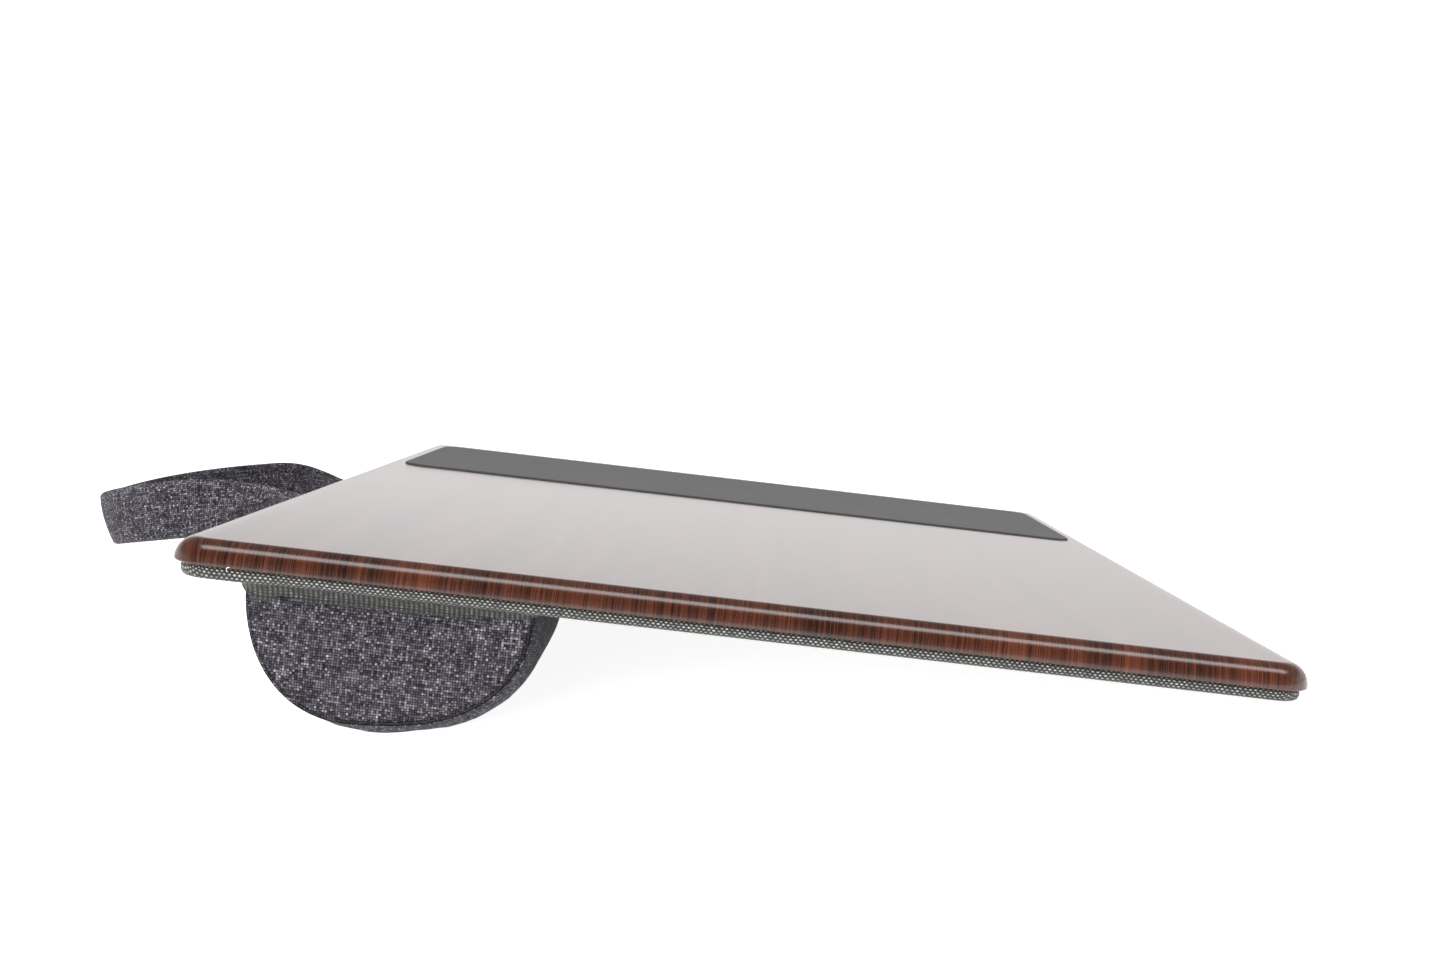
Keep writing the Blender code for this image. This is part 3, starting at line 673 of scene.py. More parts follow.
coarse, tree, shader = new_material("coarse_fabric")
place = wavering(tree, map_place(tree), 120.0, 1.0, WAVER)
mound = coarse_mounds(tree, place)
fluff = noise(tree, stretched(tree, place, 2200, 2200), 1.0, 2)
patches = noise(tree, stretched(tree, place, 500, 500), 1.0, 1)
paleness = plus(tree, times(tree, mound, plus(tree, patches, LEAST_PALE)), times(tree, fluff, COARSE_FLUFF))
threads = ramp(tree, paleness, [
    (0.12, (0.016, 0.0162, 0.0155)), (0.45, (0.058, 0.0575, 0.054)), (0.72, (0.16, 0.158, 0.148)),
    (0.98, (0.5, 0.495, 0.46))])
# The points' number is multiplied in as painted shade.
shade = ramp(tree, point_value(tree, "shade"), [(0.0, grey(0.06)), (1.0, grey(1))])
finish_with(tree, shader, tinted(tree, threads, shade), mound, 0.4 * MM, 0.8, Roughness=0.6, IOR=1.45,
            Sheen_Weight=0.1)
cover = add_piece(cover_mesh, coarse, "coarse_fabric", "underside_cover")

# %% [markdown]
# The bolster is a fabric bag stuffed with foam. Its long piece goes round the sides and the foot, and a panel
# is sewn into each end. A bag like that bulges between its seams, and not evenly. So it is blown up: a
# slightly small copy of the form is meshed evenly, a cloth simulation with some pressure inside swells it,
# and how far it may move is capped. The top, which is sewn to the panel, stays put.

# %% Helpers for the bag
SECTIONS, SECTION_POINTS = 41, 61


def loft_bolster(name, inset):
    """The closed form: sections along x, from the rear side round the foot to the front side, and the flat
    top."""
    x = np.linspace(-BOLSTER_X + inset, BOLSTER_X - inset, SECTIONS)
    turn = np.linspace(0, math.pi, SECTION_POINTS)
    points = settle(section(x[:, None], turn[None, :], inset), inset)
    return skin(name, points[:, ::-1])


def object_points(mesh):
    """All vertices of a mesh as one array."""
    points = np.empty(len(mesh.vertices) * 3)
    mesh.vertices.foreach_get("co", points)
    return points.reshape(-1, 3)


def to_desk(points):
    """Points of the world in the desk's frame."""
    x, y, z = (points - (0, SURFACE_Y, SURFACE_Z)).T
    return np.stack([x, y * COS + z * SIN, z * COS - y * SIN], axis=-1)


def applied(thing):
    """A new mesh of what a piece's modifiers make."""
    view = bpy.context.evaluated_depsgraph_get()
    return bpy.data.meshes.new_from_object(thing.evaluated_get(view), depsgraph=view)


print("there and back again, mm:", (to_desk(to_world([[0.1, 0.2, 0.3]])) / MM).round(3))

# %% A bag under pressure
SEWN_BAND = 3 * MM
PRESSURE = 25.0
FRAMES = 20


def swell_up(bag):
    """Runs the cloth simulation on the bag, with its top pinned, and keeps the last frame's mesh."""
    pinned = bag.vertex_groups.new(name="sewn")
    sewn = to_desk(object_points(bag.data))[:, 2] > COVER_BOTTOM - SEWN_BAND
    pinned.add(np.nonzero(sewn)[0].tolist(), 1.0, "REPLACE")
    cloth = bag.modifiers.new("stuffing", "CLOTH")
    cloth.settings.use_pressure = True
    cloth.settings.uniform_pressure_force = PRESSURE
    cloth.settings.vertex_group_mass = "sewn"
    cloth.settings.effector_weights.gravity = 0
    cloth.point_cache.frame_start = 1
    cloth.point_cache.frame_end = FRAMES
    scene = bpy.context.scene
    for number in range(1, FRAMES + 1):
        scene.frame_set(number)
    bag.data = applied(bag)
    bag.modifiers.clear()
    scene.frame_set(1)


# %% Blow up the bolster
START_INSET = 1.5 * MM
MOST_MOVE = 3 * MM
VOXEL = 5 * MM

bag = put_in_scene("blown_bolster", loft_bolster("blown_bolster", START_INSET))
remesh = bag.modifiers.new("even mesh", "REMESH")
remesh.mode = "VOXEL"
remesh.voxel_size = VOXEL
bag.data = applied(bag)
bag.modifiers.clear()
before = object_points(bag.data)
swell_up(bag)
move = object_points(bag.data) - before
length = np.linalg.norm(move, axis=1, keepdims=True)
capped = before + move * np.minimum(1, MOST_MOVE / np.maximum(length, 1e-9))
bag.data.vertices.foreach_set("co", capped.astype(np.float32).ravel())
bag.data.update()
print(f"blown up by {length.mean() / MM:.1f} mm on average, {length.max() / MM:.1f} mm at most")

# %% [markdown]
# The blown form has no seams and no map. So the pattern pieces are laid over it as neat grids, each drawn
# onto it by a shrinkwrap that is then applied. What the grid takes over is how unevenly the form has swelled.
# Near a seam it keeps to the seam's own line, and dips into it.

# %% Draw a grid onto the bag


def onto_bag(name, points):
    """The same grid drawn onto the blown form, as points of the desk's frame."""
    grid = put_in_scene(name, skin(name, points, closed=False, caps=(False, False)))
    wrap = grid.modifiers.new("onto the bag", "SHRINKWRAP")
    wrap.target = bag
    wrap.wrap_method = "NEAREST_SURFACEPOINT"
    result = object_points(applied(grid))
    bpy.data.objects.remove(grid)
    return to_desk(result).reshape(points.shape)


# %% Folds and seams
WAVES = 6
FULL_TURN = 6.3
SEAM_WIDTH = 1.6 * MM
SEAM_LINE = 0.9 * MM
SEAM_FADE_Y, SEAM_FADE_RUN = 140 * MM, 12 * MM


def soft_folds(a, b, size, seed):
    """Uneven low folds between -1 and 1 over two lengths: the mean of a few sine waves, each of its own
    direction, phase and stretch."""
    random = np.random.default_rng(seed)
    total = 0
    for _ in range(WAVES):
        angle, phase = random.uniform(0, math.pi), random.uniform(0, FULL_TURN)
        stretch = random.uniform(0.6, 1.7)
        place = a * math.cos(angle) + b * math.sin(angle)
        total = total + np.sin(place * stretch * FULL_TURN / size + phase)
    return total / WAVES


def seam_shade(distance, y):
    """Painted shade along a seam: 0 in the seam and 1 away from it. The line fades out on the rear side,
    where the seam lies flat.
    """
    return 1 - np.exp(-(distance / SEAM_LINE) ** 2) * smooth((SEAM_FADE_Y - y) / SEAM_FADE_RUN)


def seam_dip(distance, depth):
    """A dip with a rounded bottom: the depth in the seam, and nothing a few seam widths away."""
    return depth * np.exp(-(distance / SEAM_WIDTH) ** 2)


print("seam's dip a seam width away:", round(float(seam_dip(SEAM_WIDTH, 1.0)), 2))

# %% The long piece over the blown form
STATION_STEPS = np.array([0, 0.35, 0.7, 1.1, 1.6, 2.2, 3, 4, 5.2, 6.7, 8.5, 10.6, 13, 16, 20, 25, 31]) * MM
BODY_STATIONS = 48
SECTION_STEPS = 120
LIFTED = 1 * MM
LEAST_RISE, MOST_RISE = -0.3 * MM, 1 * MM
FOLD_SIZE, FOLD_HEIGHT = 70 * MM, 0.4 * MM
SEAM_RUN = 9 * MM
SEAM_DEPTH = 1.1 * MM
HIDDEN_LEVEL = -10.9 * MM

ends = BOLSTER_X - STATION_STEPS
stations = np.concatenate([-ends, np.linspace(-ends[-1], ends[-1], BODY_STATIONS)[1:-1], ends[::-1]])
turns = np.linspace(0, math.pi, SECTION_STEPS + 1)
form = section(stations[:, None], turns[None, :])
centres = np.broadcast_arrays(stations[:, None], BOLSTER_MIDDLE, COVER_BOTTOM + 0 * turns)
outward = form - np.stack(centres, axis=-1)
outward /= np.linalg.norm(outward, axis=-1, keepdims=True)
swelling = ((onto_bag("wrap_grid", form + outward * LIFTED) - form) * outward).sum(axis=-1)
print("swelling over the form, mm:", (swelling.min() / MM).round(2), "to", (swelling.max() / MM).round(2))
swelling = np.clip(swelling - np.median(swelling), LEAST_RISE, MOST_RISE)
folds = soft_folds(stations[:, None], turns[None, :] * DEPTH, FOLD_SIZE, 4) * FOLD_HEIGHT
from_seam = (BOLSTER_X - np.abs(stations))[:, None]
weight = smooth(from_seam / SEAM_RUN) * smooth((COVER_BOTTOM - form[..., 2]) / SEAM_RUN)
body = form + outward * ((swelling + folds) * weight - seam_dip(from_seam, SEAM_DEPTH))[..., None]
first_row = body[:, :1] * (1, 1, 0) + (0, 0, HIDDEN_LEVEL)
last_row = body[:, -1:] * (1, 1, 0) + (0, 0, HIDDEN_LEVEL)
body = settle(np.concatenate([first_row, body, last_row], axis=1))
print("bolster's widest, mm:", (np.ptp(body[..., 1]) / MM).round(1))

# %% [markdown]
# The long piece's map gives the place along the desk and the way round the section, measured once, at the
# middle. The seams get a dark line of painted shade. The front side, which the tray keeps the light off, gets
# painted shade too.

# %% The long piece's map and shade
FRONT_SHADE = 0.7
FRONT_FADE_Y, FRONT_FADE_RUN = 70 * MM, 12 * MM

middle_row = body[len(body) // 2]
girth = np.concatenate([[0], np.cumsum(np.linalg.norm(np.diff(middle_row, axis=0), axis=-1))])
wrap_laid = np.stack(np.broadcast_arrays(stations[:, None], girth - girth[-1] / 2), axis=-1)
to_front = smooth((FRONT_FADE_Y - body[..., 1]) / FRONT_FADE_RUN)
# Painted shade: the seam's dark line, and the front side made darker.
wrap_shade = seam_shade(from_seam, body[..., 1]) * (1 - FRONT_SHADE * to_front)
wrap_mesh = skin("bolster_body", body[:, ::-1], wrap_laid[:, ::-1], closed=False, caps=(False, False),
                 values={"shade": wrap_shade[:, ::-1]})
print("fabric round the bolster, mm:", (girth[-1] / MM).round(1))

# %% [markdown]
# Each end of the bolster is closed by a flat panel that is sewn in. It stands out a little, is drawn in at
# its seam, and has a few upright creases towards the rear, where the fabric is taken up. The panel is made of
# rings that shrink from the form's own rim to a point, the heart, so its edge meets the long piece exactly.

# %% The end panels
PANEL_RINGS = np.array([1, 0.99, 0.98, 0.965, 0.945, 0.92, 0.89, 0.85, 0.8, 0.74, 0.67, 0.59, 0.5, 0.4, 0.3,
                        0.2, 0.1])
TOP_STEPS = 29
HEART_Y, HEART_Z = BOLSTER_MIDDLE - 6 * MM, COVER_BOTTOM - 18 * MM
PANEL_BULGE, BULGE_RUN = 2.2 * MM, 22 * MM
PANEL_DIP = 0.9 * MM
CREASE_Y, CREASE_SPREAD = 132 * MM, 9 * MM
CREASE, CREASE_STEP, CREASE_RUN = 0.35 * MM, 5.5 * MM, 6 * MM
PANEL_FOLD, PANEL_FOLD_SIZE, PANEL_FOLD_RUN = 0.3 * MM, 45 * MM, 8 * MM


def end_panel(name, side):
    """Rings between the rim and the heart, at their shares of the way. They stand out by the bulge, less the
    dip at the seam, with creases as a sine under a bell curve and soft folds."""
    rim = section(np.full(SECTION_STEPS + 1, side * BOLSTER_X), turns)
    rim = np.concatenate([rim, np.linspace(rim[-1], rim[0], TOP_STEPS + 1)[1:-1]])
    heart = np.array([side * BOLSTER_X, HEART_Y, HEART_Z])
    rings = heart + (rim - heart) * PANEL_RINGS[:, None, None]
    y, z = rings[..., 1], rings[..., 2]
    to_rim = np.linalg.norm(rim - heart, axis=-1)[None, :] * (1 - PANEL_RINGS[:, None])
    puff = PANEL_BULGE * smooth(to_rim / BULGE_RUN) - seam_dip(to_rim, PANEL_DIP)
    bell = np.exp(-((y - CREASE_Y) / CREASE_SPREAD) ** 2)
    puff += CREASE * np.sin(y / CREASE_STEP) * bell * smooth(to_rim / CREASE_RUN)
    puff += PANEL_FOLD * soft_folds(y, z, PANEL_FOLD_SIZE, 9) * smooth(to_rim / PANEL_FOLD_RUN)
    rings[..., 0] += side * puff
    rings = settle(rings)
    way = -1 if side > 0 else 1
    # The shade gives the panel's seam its dark line of painted shade, as on the long piece.
    return skin(name, rings[:, ::way], rings[:, ::way, 1:], caps=(False, True),
                values={"shade": seam_shade(to_rim, rings[..., 1])[:, ::way]})


panel_meshes = [end_panel("end_panel_left", -1), end_panel("end_panel_right", 1)]
print("end panels:", [len(mesh.polygons) for mesh in panel_meshes])

# %% [markdown]
# The bolster and the handle are covered in a plain weave of dark slate yarn in which single threads come out
# pale and thicken and thin along their length. Each square of the map shows either an upright or a level
# thread, in turn, like a chessboard. Every thread gets its own random paleness, which drifts along it, and
# every square a little more of its own.

# %% The heather weave
THREAD = 0.84 * MM
DRIFT = 0.14
THREAD_STEP, SQUARE_STEP_X, SQUARE_STEP_Y = 7.31, 5.13, 3.71
THREAD_SHARE, CELL_SHARE, FLUFF_SHARE = 0.48, 0.34, 0.18


def heather_weave(tree, place):
    """How pale each square of the weave is, and how high. The square's thread is the upright or the level one
    as the sum of its two numbers is even or odd. The steps set neighbours far apart in the noise, so that
    they differ. The height is two hills multiplied, each one less four times the square of the way from the
    middle."""
    parts = parts_of(tree, place)
    one, other = (maths(tree, "DIVIDE", parts[name], THREAD) for name in ("X", "Y"))
    one_id, other_id = maths(tree, "FLOOR", one), maths(tree, "FLOOR", other)
    chess = maths(tree, "FLOORED_MODULO", plus(tree, one_id, other_id), 2.0)
    threads = []
    for number, along in ((one_id, other), (other_id, one)):
        apart = 3.0 * len(threads)
        where = vector_of(tree, X=times(tree, number, THREAD_STEP), Y=times(tree, along, DRIFT), Z=apart)
        threads.append(noise(tree, where, 1.0, 3, 0.6))
    column, row = times(tree, one_id, SQUARE_STEP_X), times(tree, other_id, SQUARE_STEP_Y)
    cell = noise(tree, vector_of(tree, X=column, Y=row, Z=9.0), 1.0, 1)
    fluff = noise(tree, stretched(tree, place, 3000, 3000), 1.0, 2)
    paleness = plus(tree, times(tree, blended(tree, chess, *threads), THREAD_SHARE),
                    plus(tree, times(tree, cell, CELL_SHARE), times(tree, fluff, FLUFF_SHARE)))
    height = times(tree, *(fall_off(tree, in_cell(tree, value), 4.0) for value in (one, other)))
    return paleness, height


# %% [markdown]
# The colour of the yarn follows its paleness, and the gaps between the threads are dark. Sewn lines are
# grooves at fixed places across the map, darkened with painted shade. Last, the points' painted shade is
# multiplied in, with a gain that paints extra light onto a piece that catches more light than the lamps give
# it.

# %% Heather fabric
SLUB_WAVER = 0.6 * MM
GROOVE_HALF = 0.7 * MM
GROOVE_SHARE = 0.6


def heather(name, stitch_lines=(), gain=1.0):
    """The weave, with sewn lines at some values of the map's second part."""
    material, tree, shader = new_material(name)
    paleness, height = heather_weave(tree, wavering(tree, map_place(tree), 160.0, 2.0, SLUB_WAVER))
    colour = ramp(tree, paleness, [
        (0.38, (0.009, 0.008, 0.011)), (0.47, (0.037, 0.033, 0.042)), (0.54, (0.12, 0.11, 0.128)),
        (0.66, (0.42, 0.4, 0.435))])
    gaps = ramp(tree, height, [(0.05, (0.1, 0.1, 0.12)), (0.45, grey(0.9)), (0.9, grey(1))])
    colour = tinted(tree, colour, gaps)
    for line in stitch_lines:
        away = maths(tree, "ABSOLUTE", minus(tree, parts_of(tree, map_place(tree))["Y"], line))
        groove = maths(tree, "MINIMUM", maths(tree, "DIVIDE", away, GROOVE_HALF), 1.0)
        height = times(tree, height, groove)
        # The groove is also darkened in the colour, as painted shade.
        colour = tinted(tree, colour, ramp(tree, groove, [(0.0, grey(0.3)), (1.0, grey(1))]), GROOVE_SHARE)
    # Painted shade from the points' number. With a gain above 1 it is painted light as well.
    shade = ramp(tree, point_value(tree, "shade"), [(0.0, (0.04, 0.04, 0.05)), (1.0, grey(gain))])
    finish_with(tree, shader, tinted(tree, colour, shade), height, 0.3 * MM, 0.7, Roughness=0.9,
                Sheen_Weight=0.05, Sheen_Roughness=0.5, Specular_IOR_Level=0.25)
    return material


bolster_fabric = heather("heather_fabric")
wrap = add_piece(wrap_mesh, bolster_fabric, "heather_fabric", "bolster_wrap")
for mesh in panel_meshes:
    panel = add_piece(mesh, bolster_fabric, "heather_fabric", mesh.name.replace("end_panel", "bolster_end"))
bpy.data.objects.remove(bag)

# %% [markdown]
# The foam inside stays out of sight. It is the same form, four millimetres smaller all round, so that the
# fabric never touches it where the blown form is drawn in. A cell pattern gives it its open pores.

# %% Foam filling
FOAM_INSET = 4 * MM
foam, tree, shader = new_material("foam_filling")
cells = add_node(tree, "TexVoronoi", {"Vector": object_place(tree), "Scale": 700.0}).outputs["Distance"]
foam_colour = ramp(tree, cells, [(0.0, (0.5, 0.47, 0.36)), (0.6, (0.78, 0.75, 0.63))])
finish_with(tree, shader, foam_colour, cells, 0.6 * MM, 0.8, Roughness=0.95)
filling = add_piece(loft_bolster("foam_core", FOAM_INSET), foam, "foam_filling", "bolster_filling")

# %% [markdown]
# The handle is a flat sleeve of the heather fabric over a strap of webbing. It leaves the rear edge lying
# flat, turns on edge within a few centimetres and loops round, with its top edge leaning outwards. A curve
# object with a tilt at each point could do it. Here two smooth curves, one the mirror of the other, give the
# middle line as an array, so that the twist can follow the distance along it.

# %% The handle's route
STRAP_ROOT = np.array([-STRAP_X, BOARD_Y, -9.25 * MM])
STRAP_TIP = np.array([0, BOARD_Y + 95.6 * MM, -29.5 * MM])
SIDE_PULL, SIDE_SAG, END_PULL = 70 * MM, 7.5 * MM, 40 * MM
HIDDEN_END = 34 * MM
HALF_STEPS, HIDDEN_STEPS = 90, 8


def strap_route():
    """The middle line: a Bezier curve from the left root to the tip, what is hidden before it, and its
    mirror."""
    share = np.linspace(0, 1, HALF_STEPS + 1)[:, None]
    pulls = (STRAP_ROOT, STRAP_ROOT + (0, SIDE_PULL, -SIDE_SAG), STRAP_TIP - (END_PULL, 0, 0), STRAP_TIP)
    curve = sum(math.comb(3, k) * share ** k * (1 - share) ** (3 - k) * pulls[k] for k in range(4))
    hidden = STRAP_ROOT - np.linspace(HIDDEN_END, 0, HIDDEN_STEPS + 1)[:-1, None] * (0, 1, 0)
    half = np.concatenate([hidden, curve])
    return np.concatenate([half, half[-2::-1] * (-1, 1, 1)])


def lengths_along(line):
    """The distance from the first point to each point of a line."""
    return np.concatenate([[0], np.cumsum(np.linalg.norm(np.diff(line, axis=0), axis=1))])


def unit(vectors):
    """The same directions at length 1."""
    return vectors / np.linalg.norm(vectors, axis=1, keepdims=True)


route = strap_route()
run = lengths_along(route)
print(f"strap {run[-1] / MM:.0f} mm long with its hidden ends")

# %% [markdown]
# Along the route the strap turns from flat to upright, and on to its lean. At every step two directions span
# its section: across, from edge to edge, and through, from face to face. The right run turns sooner than the
# left one does.

# %% The handle's twist
NEAR_TWIST, FAR_TWIST = 55 * MM, 37 * MM
LEAN = math.radians(24)

out = np.minimum(run, run[-1] - run) - HIDDEN_END
twist_run = np.where(run < run[-1] / 2, NEAR_TWIST, FAR_TWIST)
leaning = smooth((out - twist_run) / (out.max() - twist_run))
turn = (math.pi / 2 * np.clip(out / twist_run, 0, 1) + LEAN * leaning)[:, None]
forward = unit(np.gradient(route, axis=0))
level_way = unit(np.cross(forward, (0, 0, 1)))
across_way = level_way * np.cos(turn) + np.cross(level_way, forward) * np.sin(turn)
through_way = np.cross(forward, across_way)
print("strap's turn at its tip, degrees:", np.degrees(turn.max()).round(1))

# %% [markdown]
# The section is two straight faces with a round edge at either side. It is thinner where the board presses on
# it. Past that, soft folds run through it, and at the end of the loop it bulges and is slightly narrower.

# %% The handle's section
STRAP_WIDTH = 24 * MM
STRAP_THICKNESS, STRAP_PRESSED = 3.4 * MM, 2.3 * MM
FACE_POINTS, EDGE_POINTS = 12, 9
UPPER_FROM, UPPER_OVER = 0.5, 0.45
FREE_RUN = 30 * MM
TIP_FROM = 60 * MM
STRAP_FOLD, STRAP_FOLD_SIZE = 0.35 * MM, 40 * MM
EDGE_WAVE, EDGE_WAVE_STEP = 0.012, 13 * MM
END_BULGE, END_NARROWING = 1.6 * MM, 0.04


def strap_section(width, thickness):
    """A flat section: two straight faces and two round edges, as (across, through), starting at one edge.
    Width and thickness are arrays of one value for each section."""
    turn = np.linspace(-math.pi / 2, math.pi / 2, EDGE_POINTS)
    face = np.linspace(-1, 1, FACE_POINTS + 2)[1:-1]
    half_face, radius = (width / 2 - thickness / 2)[:, None], (thickness / 2)[:, None]
    across = np.concatenate([half_face + radius * np.cos(turn), -face * half_face], axis=1)
    through = np.concatenate([radius * np.sin(turn), radius + 0 * face], axis=1)
    return np.concatenate([across, -across], axis=1), np.concatenate([through, -through], axis=1)


width = np.full(len(route), STRAP_WIDTH)
thickness = STRAP_PRESSED + (STRAP_THICKNESS - STRAP_PRESSED) * smooth(out / twist_run)
across, through = strap_section(width, thickness)
inward = (through / (thickness[:, None] / 2) + 1) / 2
upper = smooth((across / (STRAP_WIDTH / 2) - UPPER_FROM) / UPPER_OVER)
free = smooth(out / FREE_RUN)[:, None]
at_tip = smooth((out - TIP_FROM) / (out.max() - TIP_FROM))[:, None]
bend = free * STRAP_FOLD * soft_folds(run[:, None], across, STRAP_FOLD_SIZE, 3)
bend = bend - END_BULGE * at_tip * (1 - (across / (STRAP_WIDTH / 2)) ** 2)
across = across * (1 + free * EDGE_WAVE * np.sin(run[:, None] / EDGE_WAVE_STEP) - END_NARROWING * at_tip)
print("strap's thickness, mm:", (thickness.min() / MM).round(1), "to", (thickness.max() / MM).round(1))

# %% [markdown]
# The sleeve is carried along the route in that section, and the webbing inside it in a smaller one. The
# sleeve's map runs along the strap and round it, with a sewn line near each edge of both faces. Its inner
# face looks into the loop and gets less light, so it gets painted shade. Its upper edge gets more, so it gets
# painted light.

# %% The handle
CORE_INSET = 0.8 * MM
OUTER_SHADE, INNER_SHADE, HANDLE_GAIN = 0.72, 0.45, 1.4
EDGE_ROUND = 5.3 * MM
STITCH_IN = 2 * MM


def carried(across, through):
    """The section's points at every step of the route."""
    sideways = across[..., None] * across_way[:, None]
    return route[:, None] + sideways + through[..., None] * through_way[:, None]


# Painted shade on the inner face, and painted light on the upper edge of the outer face.
strap_shade = OUTER_SHADE - (OUTER_SHADE - INNER_SHADE) * smooth(inward)
strap_shade = strap_shade + (1 - OUTER_SHADE) * upper * (1 - inward)
middle = len(route) // 2
section_line = np.stack([across[middle], through[middle] + bend[middle]], axis=-1)
round_it = lengths_along(np.concatenate([section_line, section_line[:1]]))
strap_laid = np.stack(np.broadcast_arrays(run[:, None], round_it), axis=-1)
stitches = (EDGE_ROUND + STITCH_IN, EDGE_ROUND + STRAP_WIDTH - STRAP_THICKNESS - STITCH_IN)
sleeve_mesh = skin("strap_sleeve", carried(across, through + bend), strap_laid, caps=(False, False),
                   values={"shade": strap_shade})
narrower, thinner = (1 - 2 * CORE_INSET / size[:, None] for size in (width, thickness))
core_mesh = skin("strap_core", carried(across * narrower, through * thinner + bend), strap_laid)
handle_fabric = heather("handle_fabric", stitches, HANDLE_GAIN)
add_piece(sleeve_mesh, handle_fabric, "heather_fabric", "handle_sleeve")
print(f"strap {run[-1] / MM:.0f} mm long, {round_it[-1] / MM:.0f} mm round")

# %% [markdown]
# The solids that stay are out of sight too, but each gets its finish: hardboard for the panel and bright wire
# for the staples. The webbing that was just made is grey. Noise between two colours is enough for all three,
# stretched where the material has a direction.

# %% Finishes of the hidden pieces


def hidden_finish(name, scale, colours, roughness, metallic=0.0):
    """A grained finish between two colours."""
    material, tree, shader = new_material(name)
    value = noise(tree, stretched(tree, object_place(tree), *scale), 1.0, 4)
    colour = ramp(tree, value, [(0.35, colours[0]), (0.65, colours[1])])
    finish_with(tree, shader, colour, value, 0.2 * MM, 0.5, Roughness=roughness, Metallic=metallic)
    return material


hardboard = hidden_finish("hardboard", (300, 300, 300), ((0.1, 0.055, 0.03), (0.2, 0.115, 0.065)), 0.8)
webbing = hidden_finish("strap_webbing", (900, 900, 900), (grey(0.06), grey(0.3)), 0.9)
wire = hidden_finish("staple_steel", (200, 2000, 200), ((0.5, 0.5, 0.52), (0.72, 0.72, 0.74)), 0.3, 1.0)
add_piece(core_mesh, webbing, "strap_webbing", "handle_webbing")
for name, thing in nodes.items():
    if thing.hide_render:
        continue
    material = wire if "staple" in name else hardboard
    thing.data.materials.clear()
    thing.data.materials.append(material)
    print(f"{name}: {material.name}")

# %% [markdown]
# The desk is photographed on white, from its left end, hardly above the work surface. The camera's place and
# its three turns are given in the desk's frame. The camera first looks along the desk. It is then turned
# sideways, up or down, and round its own axis, and last it is tilted with the desk.

# %% Camera
CAMERA = np.array([-869.55, 15.44, 77.22]) * MM
YAW, PITCH, ROLL = np.radians([-0.431, 4.038, 6.661])
FOCAL, SENSOR = 49.54, 36.0


def turned(angle, i, j):
    """A turn in the plane of two of the three axes."""
    matrix = np.eye(3)
    matrix[i, i] = matrix[j, j] = math.cos(angle)
    matrix[i, j], matrix[j, i] = -math.sin(angle), math.sin(angle)
    return matrix


looking_along_x = np.array([[0, -1, 0], [0, 0, -1], [1, 0, 0]])
right, down, ahead = turned(ROLL, 0, 1) @ turned(PITCH, 1, 2) @ turned(YAW, 2, 0) @ looking_along_x
pose = np.eye(4)
pose[:3, :3] = turned(TILT, 1, 2) @ np.column_stack([right, -down, -ahead])
pose[:3, 3] = to_world(CAMERA)
lens = bpy.data.cameras.new("camera")
lens.lens = FOCAL
lens.sensor_width = SENSOR
lens.clip_start = 0.01
camera = put_in_scene("camera", lens)
camera.matrix_world = Matrix(pose)
bpy.context.scene.camera = camera
print("camera at, mm:", (pose[:3, 3] / MM).round(1))

# %% [markdown]
# The floor is a pale sheet that glows a little, as a lit white table does, so that the ground reads white. It
# runs out far beyond the desk.

# %% Floor
FLOOR = 8.0
FLOOR_GLOW = 0.88

floor_mesh = bpy.data.meshes.new("floor")
floor_mesh.from_pydata([(-FLOOR, -FLOOR, 0), (FLOOR, -FLOOR, 0), (FLOOR, FLOOR, 0), (-FLOOR, FLOOR, 0)], [],
                       [(0, 1, 2, 3)])
floor = put_in_scene("floor", floor_mesh)
white, tree, shader = new_material("floor")
whites = ramp(tree, noise(tree, object_place(tree), 3.0), [(0.0, grey(0.93)), (1.0, grey(0.95))])
finish_with(tree, shader, whites, Roughness=0.9, Emission_Color=(1, 1, 1, 1), Emission_Strength=FLOOR_GLOW)
floor_mesh.materials.append(white)
print("floor, m:", 2 * FLOOR, "square")

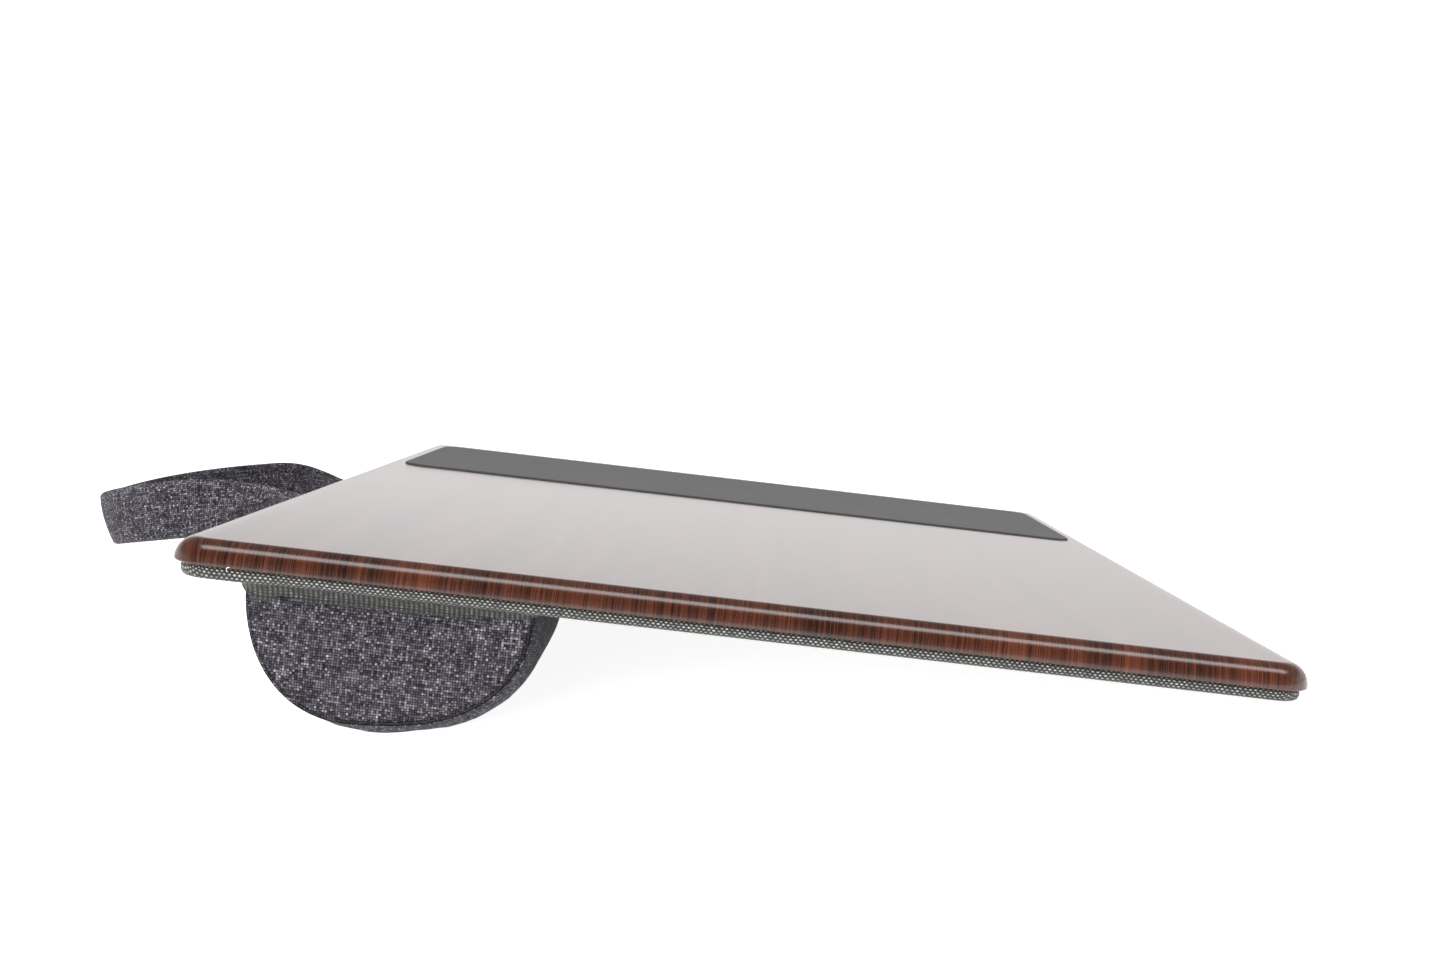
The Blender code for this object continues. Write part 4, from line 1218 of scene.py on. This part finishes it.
# %% [markdown]
# The glossy top mirrors the far side of the room, so that side has to be brighter than white just above the
# horizon. Higher up, and behind the camera, the room is dark, which draws a dark line along the board's
# rounded edge.

# %% Room
ROOM_STRENGTH = 1.12
BY_HEIGHT = [(0.0, 1.0), (0.14, 1.25), (0.26, 1.2), (0.4, 0.5), (0.6, 0.25), (1.0, 0.2)]
BY_SIDE = [(0.2, 0.25), (0.5, 1.0)]

world = bpy.data.worlds.new("room")
bpy.context.scene.world = world
world.use_nodes = True
tree = world.node_tree
direction = parts_of(tree, add_node(tree, "TexCoord").outputs["Generated"])
by_height = ramp(tree, direction["Z"], [(level, grey(value)) for level, value in BY_HEIGHT])
to_far_side = maths(tree, "MULTIPLY_ADD", direction["X"], 0.5, 0.5)
by_side = ramp(tree, to_far_side, [(place, grey(value)) for place, value in BY_SIDE])
tree.links.new(tinted(tree, by_height, by_side), tree.nodes["Background"].inputs["Color"])
tree.nodes["Background"].inputs["Strength"].default_value = ROOM_STRENGTH
print("room's brightest:", max(value for _, value in BY_HEIGHT) * ROOM_STRENGTH)

# %% [markdown]
# Three soft lamps do the rest. The overhead one is narrow and is seen in the gloss, where it draws the bright
# line along the rounded edge. The one above fills in from all round, and the one on the camera's side lights
# the near end. Neither of those two shows in the gloss. The view transform is the plain one, so that white
# paper comes out white.

# %% Lamps


def add_lamp(name, place, size, power, glossy=False, aimed=False):
    """A rectangular lamp. It looks straight down, or at the desk where it is aimed."""
    lamp = bpy.data.lights.new(name, "AREA")
    lamp.shape = "RECTANGLE"
    lamp.size, lamp.size_y = size
    lamp.energy = power
    thing = put_in_scene(name, lamp)
    thing.location = place
    if aimed:
        thing.rotation_euler = (-Vector(place)).to_track_quat("-Z", "Y").to_euler()
    thing.visible_glossy = glossy
    print(f"{name}: {power:.0f} W")


add_lamp("overhead", (-0.6, -0.55, 1.6), (0.58, 2.2), 26.0, glossy=True)
add_lamp("above", (0.1, 0.2, 1.8), (1.6, 1.6), 10.0)
add_lamp("camera_side", (-1.8, 0.5, 0.42), (1.1, 0.5), 22.0, aimed=True)
bpy.context.scene.view_settings.view_transform = "Standard"
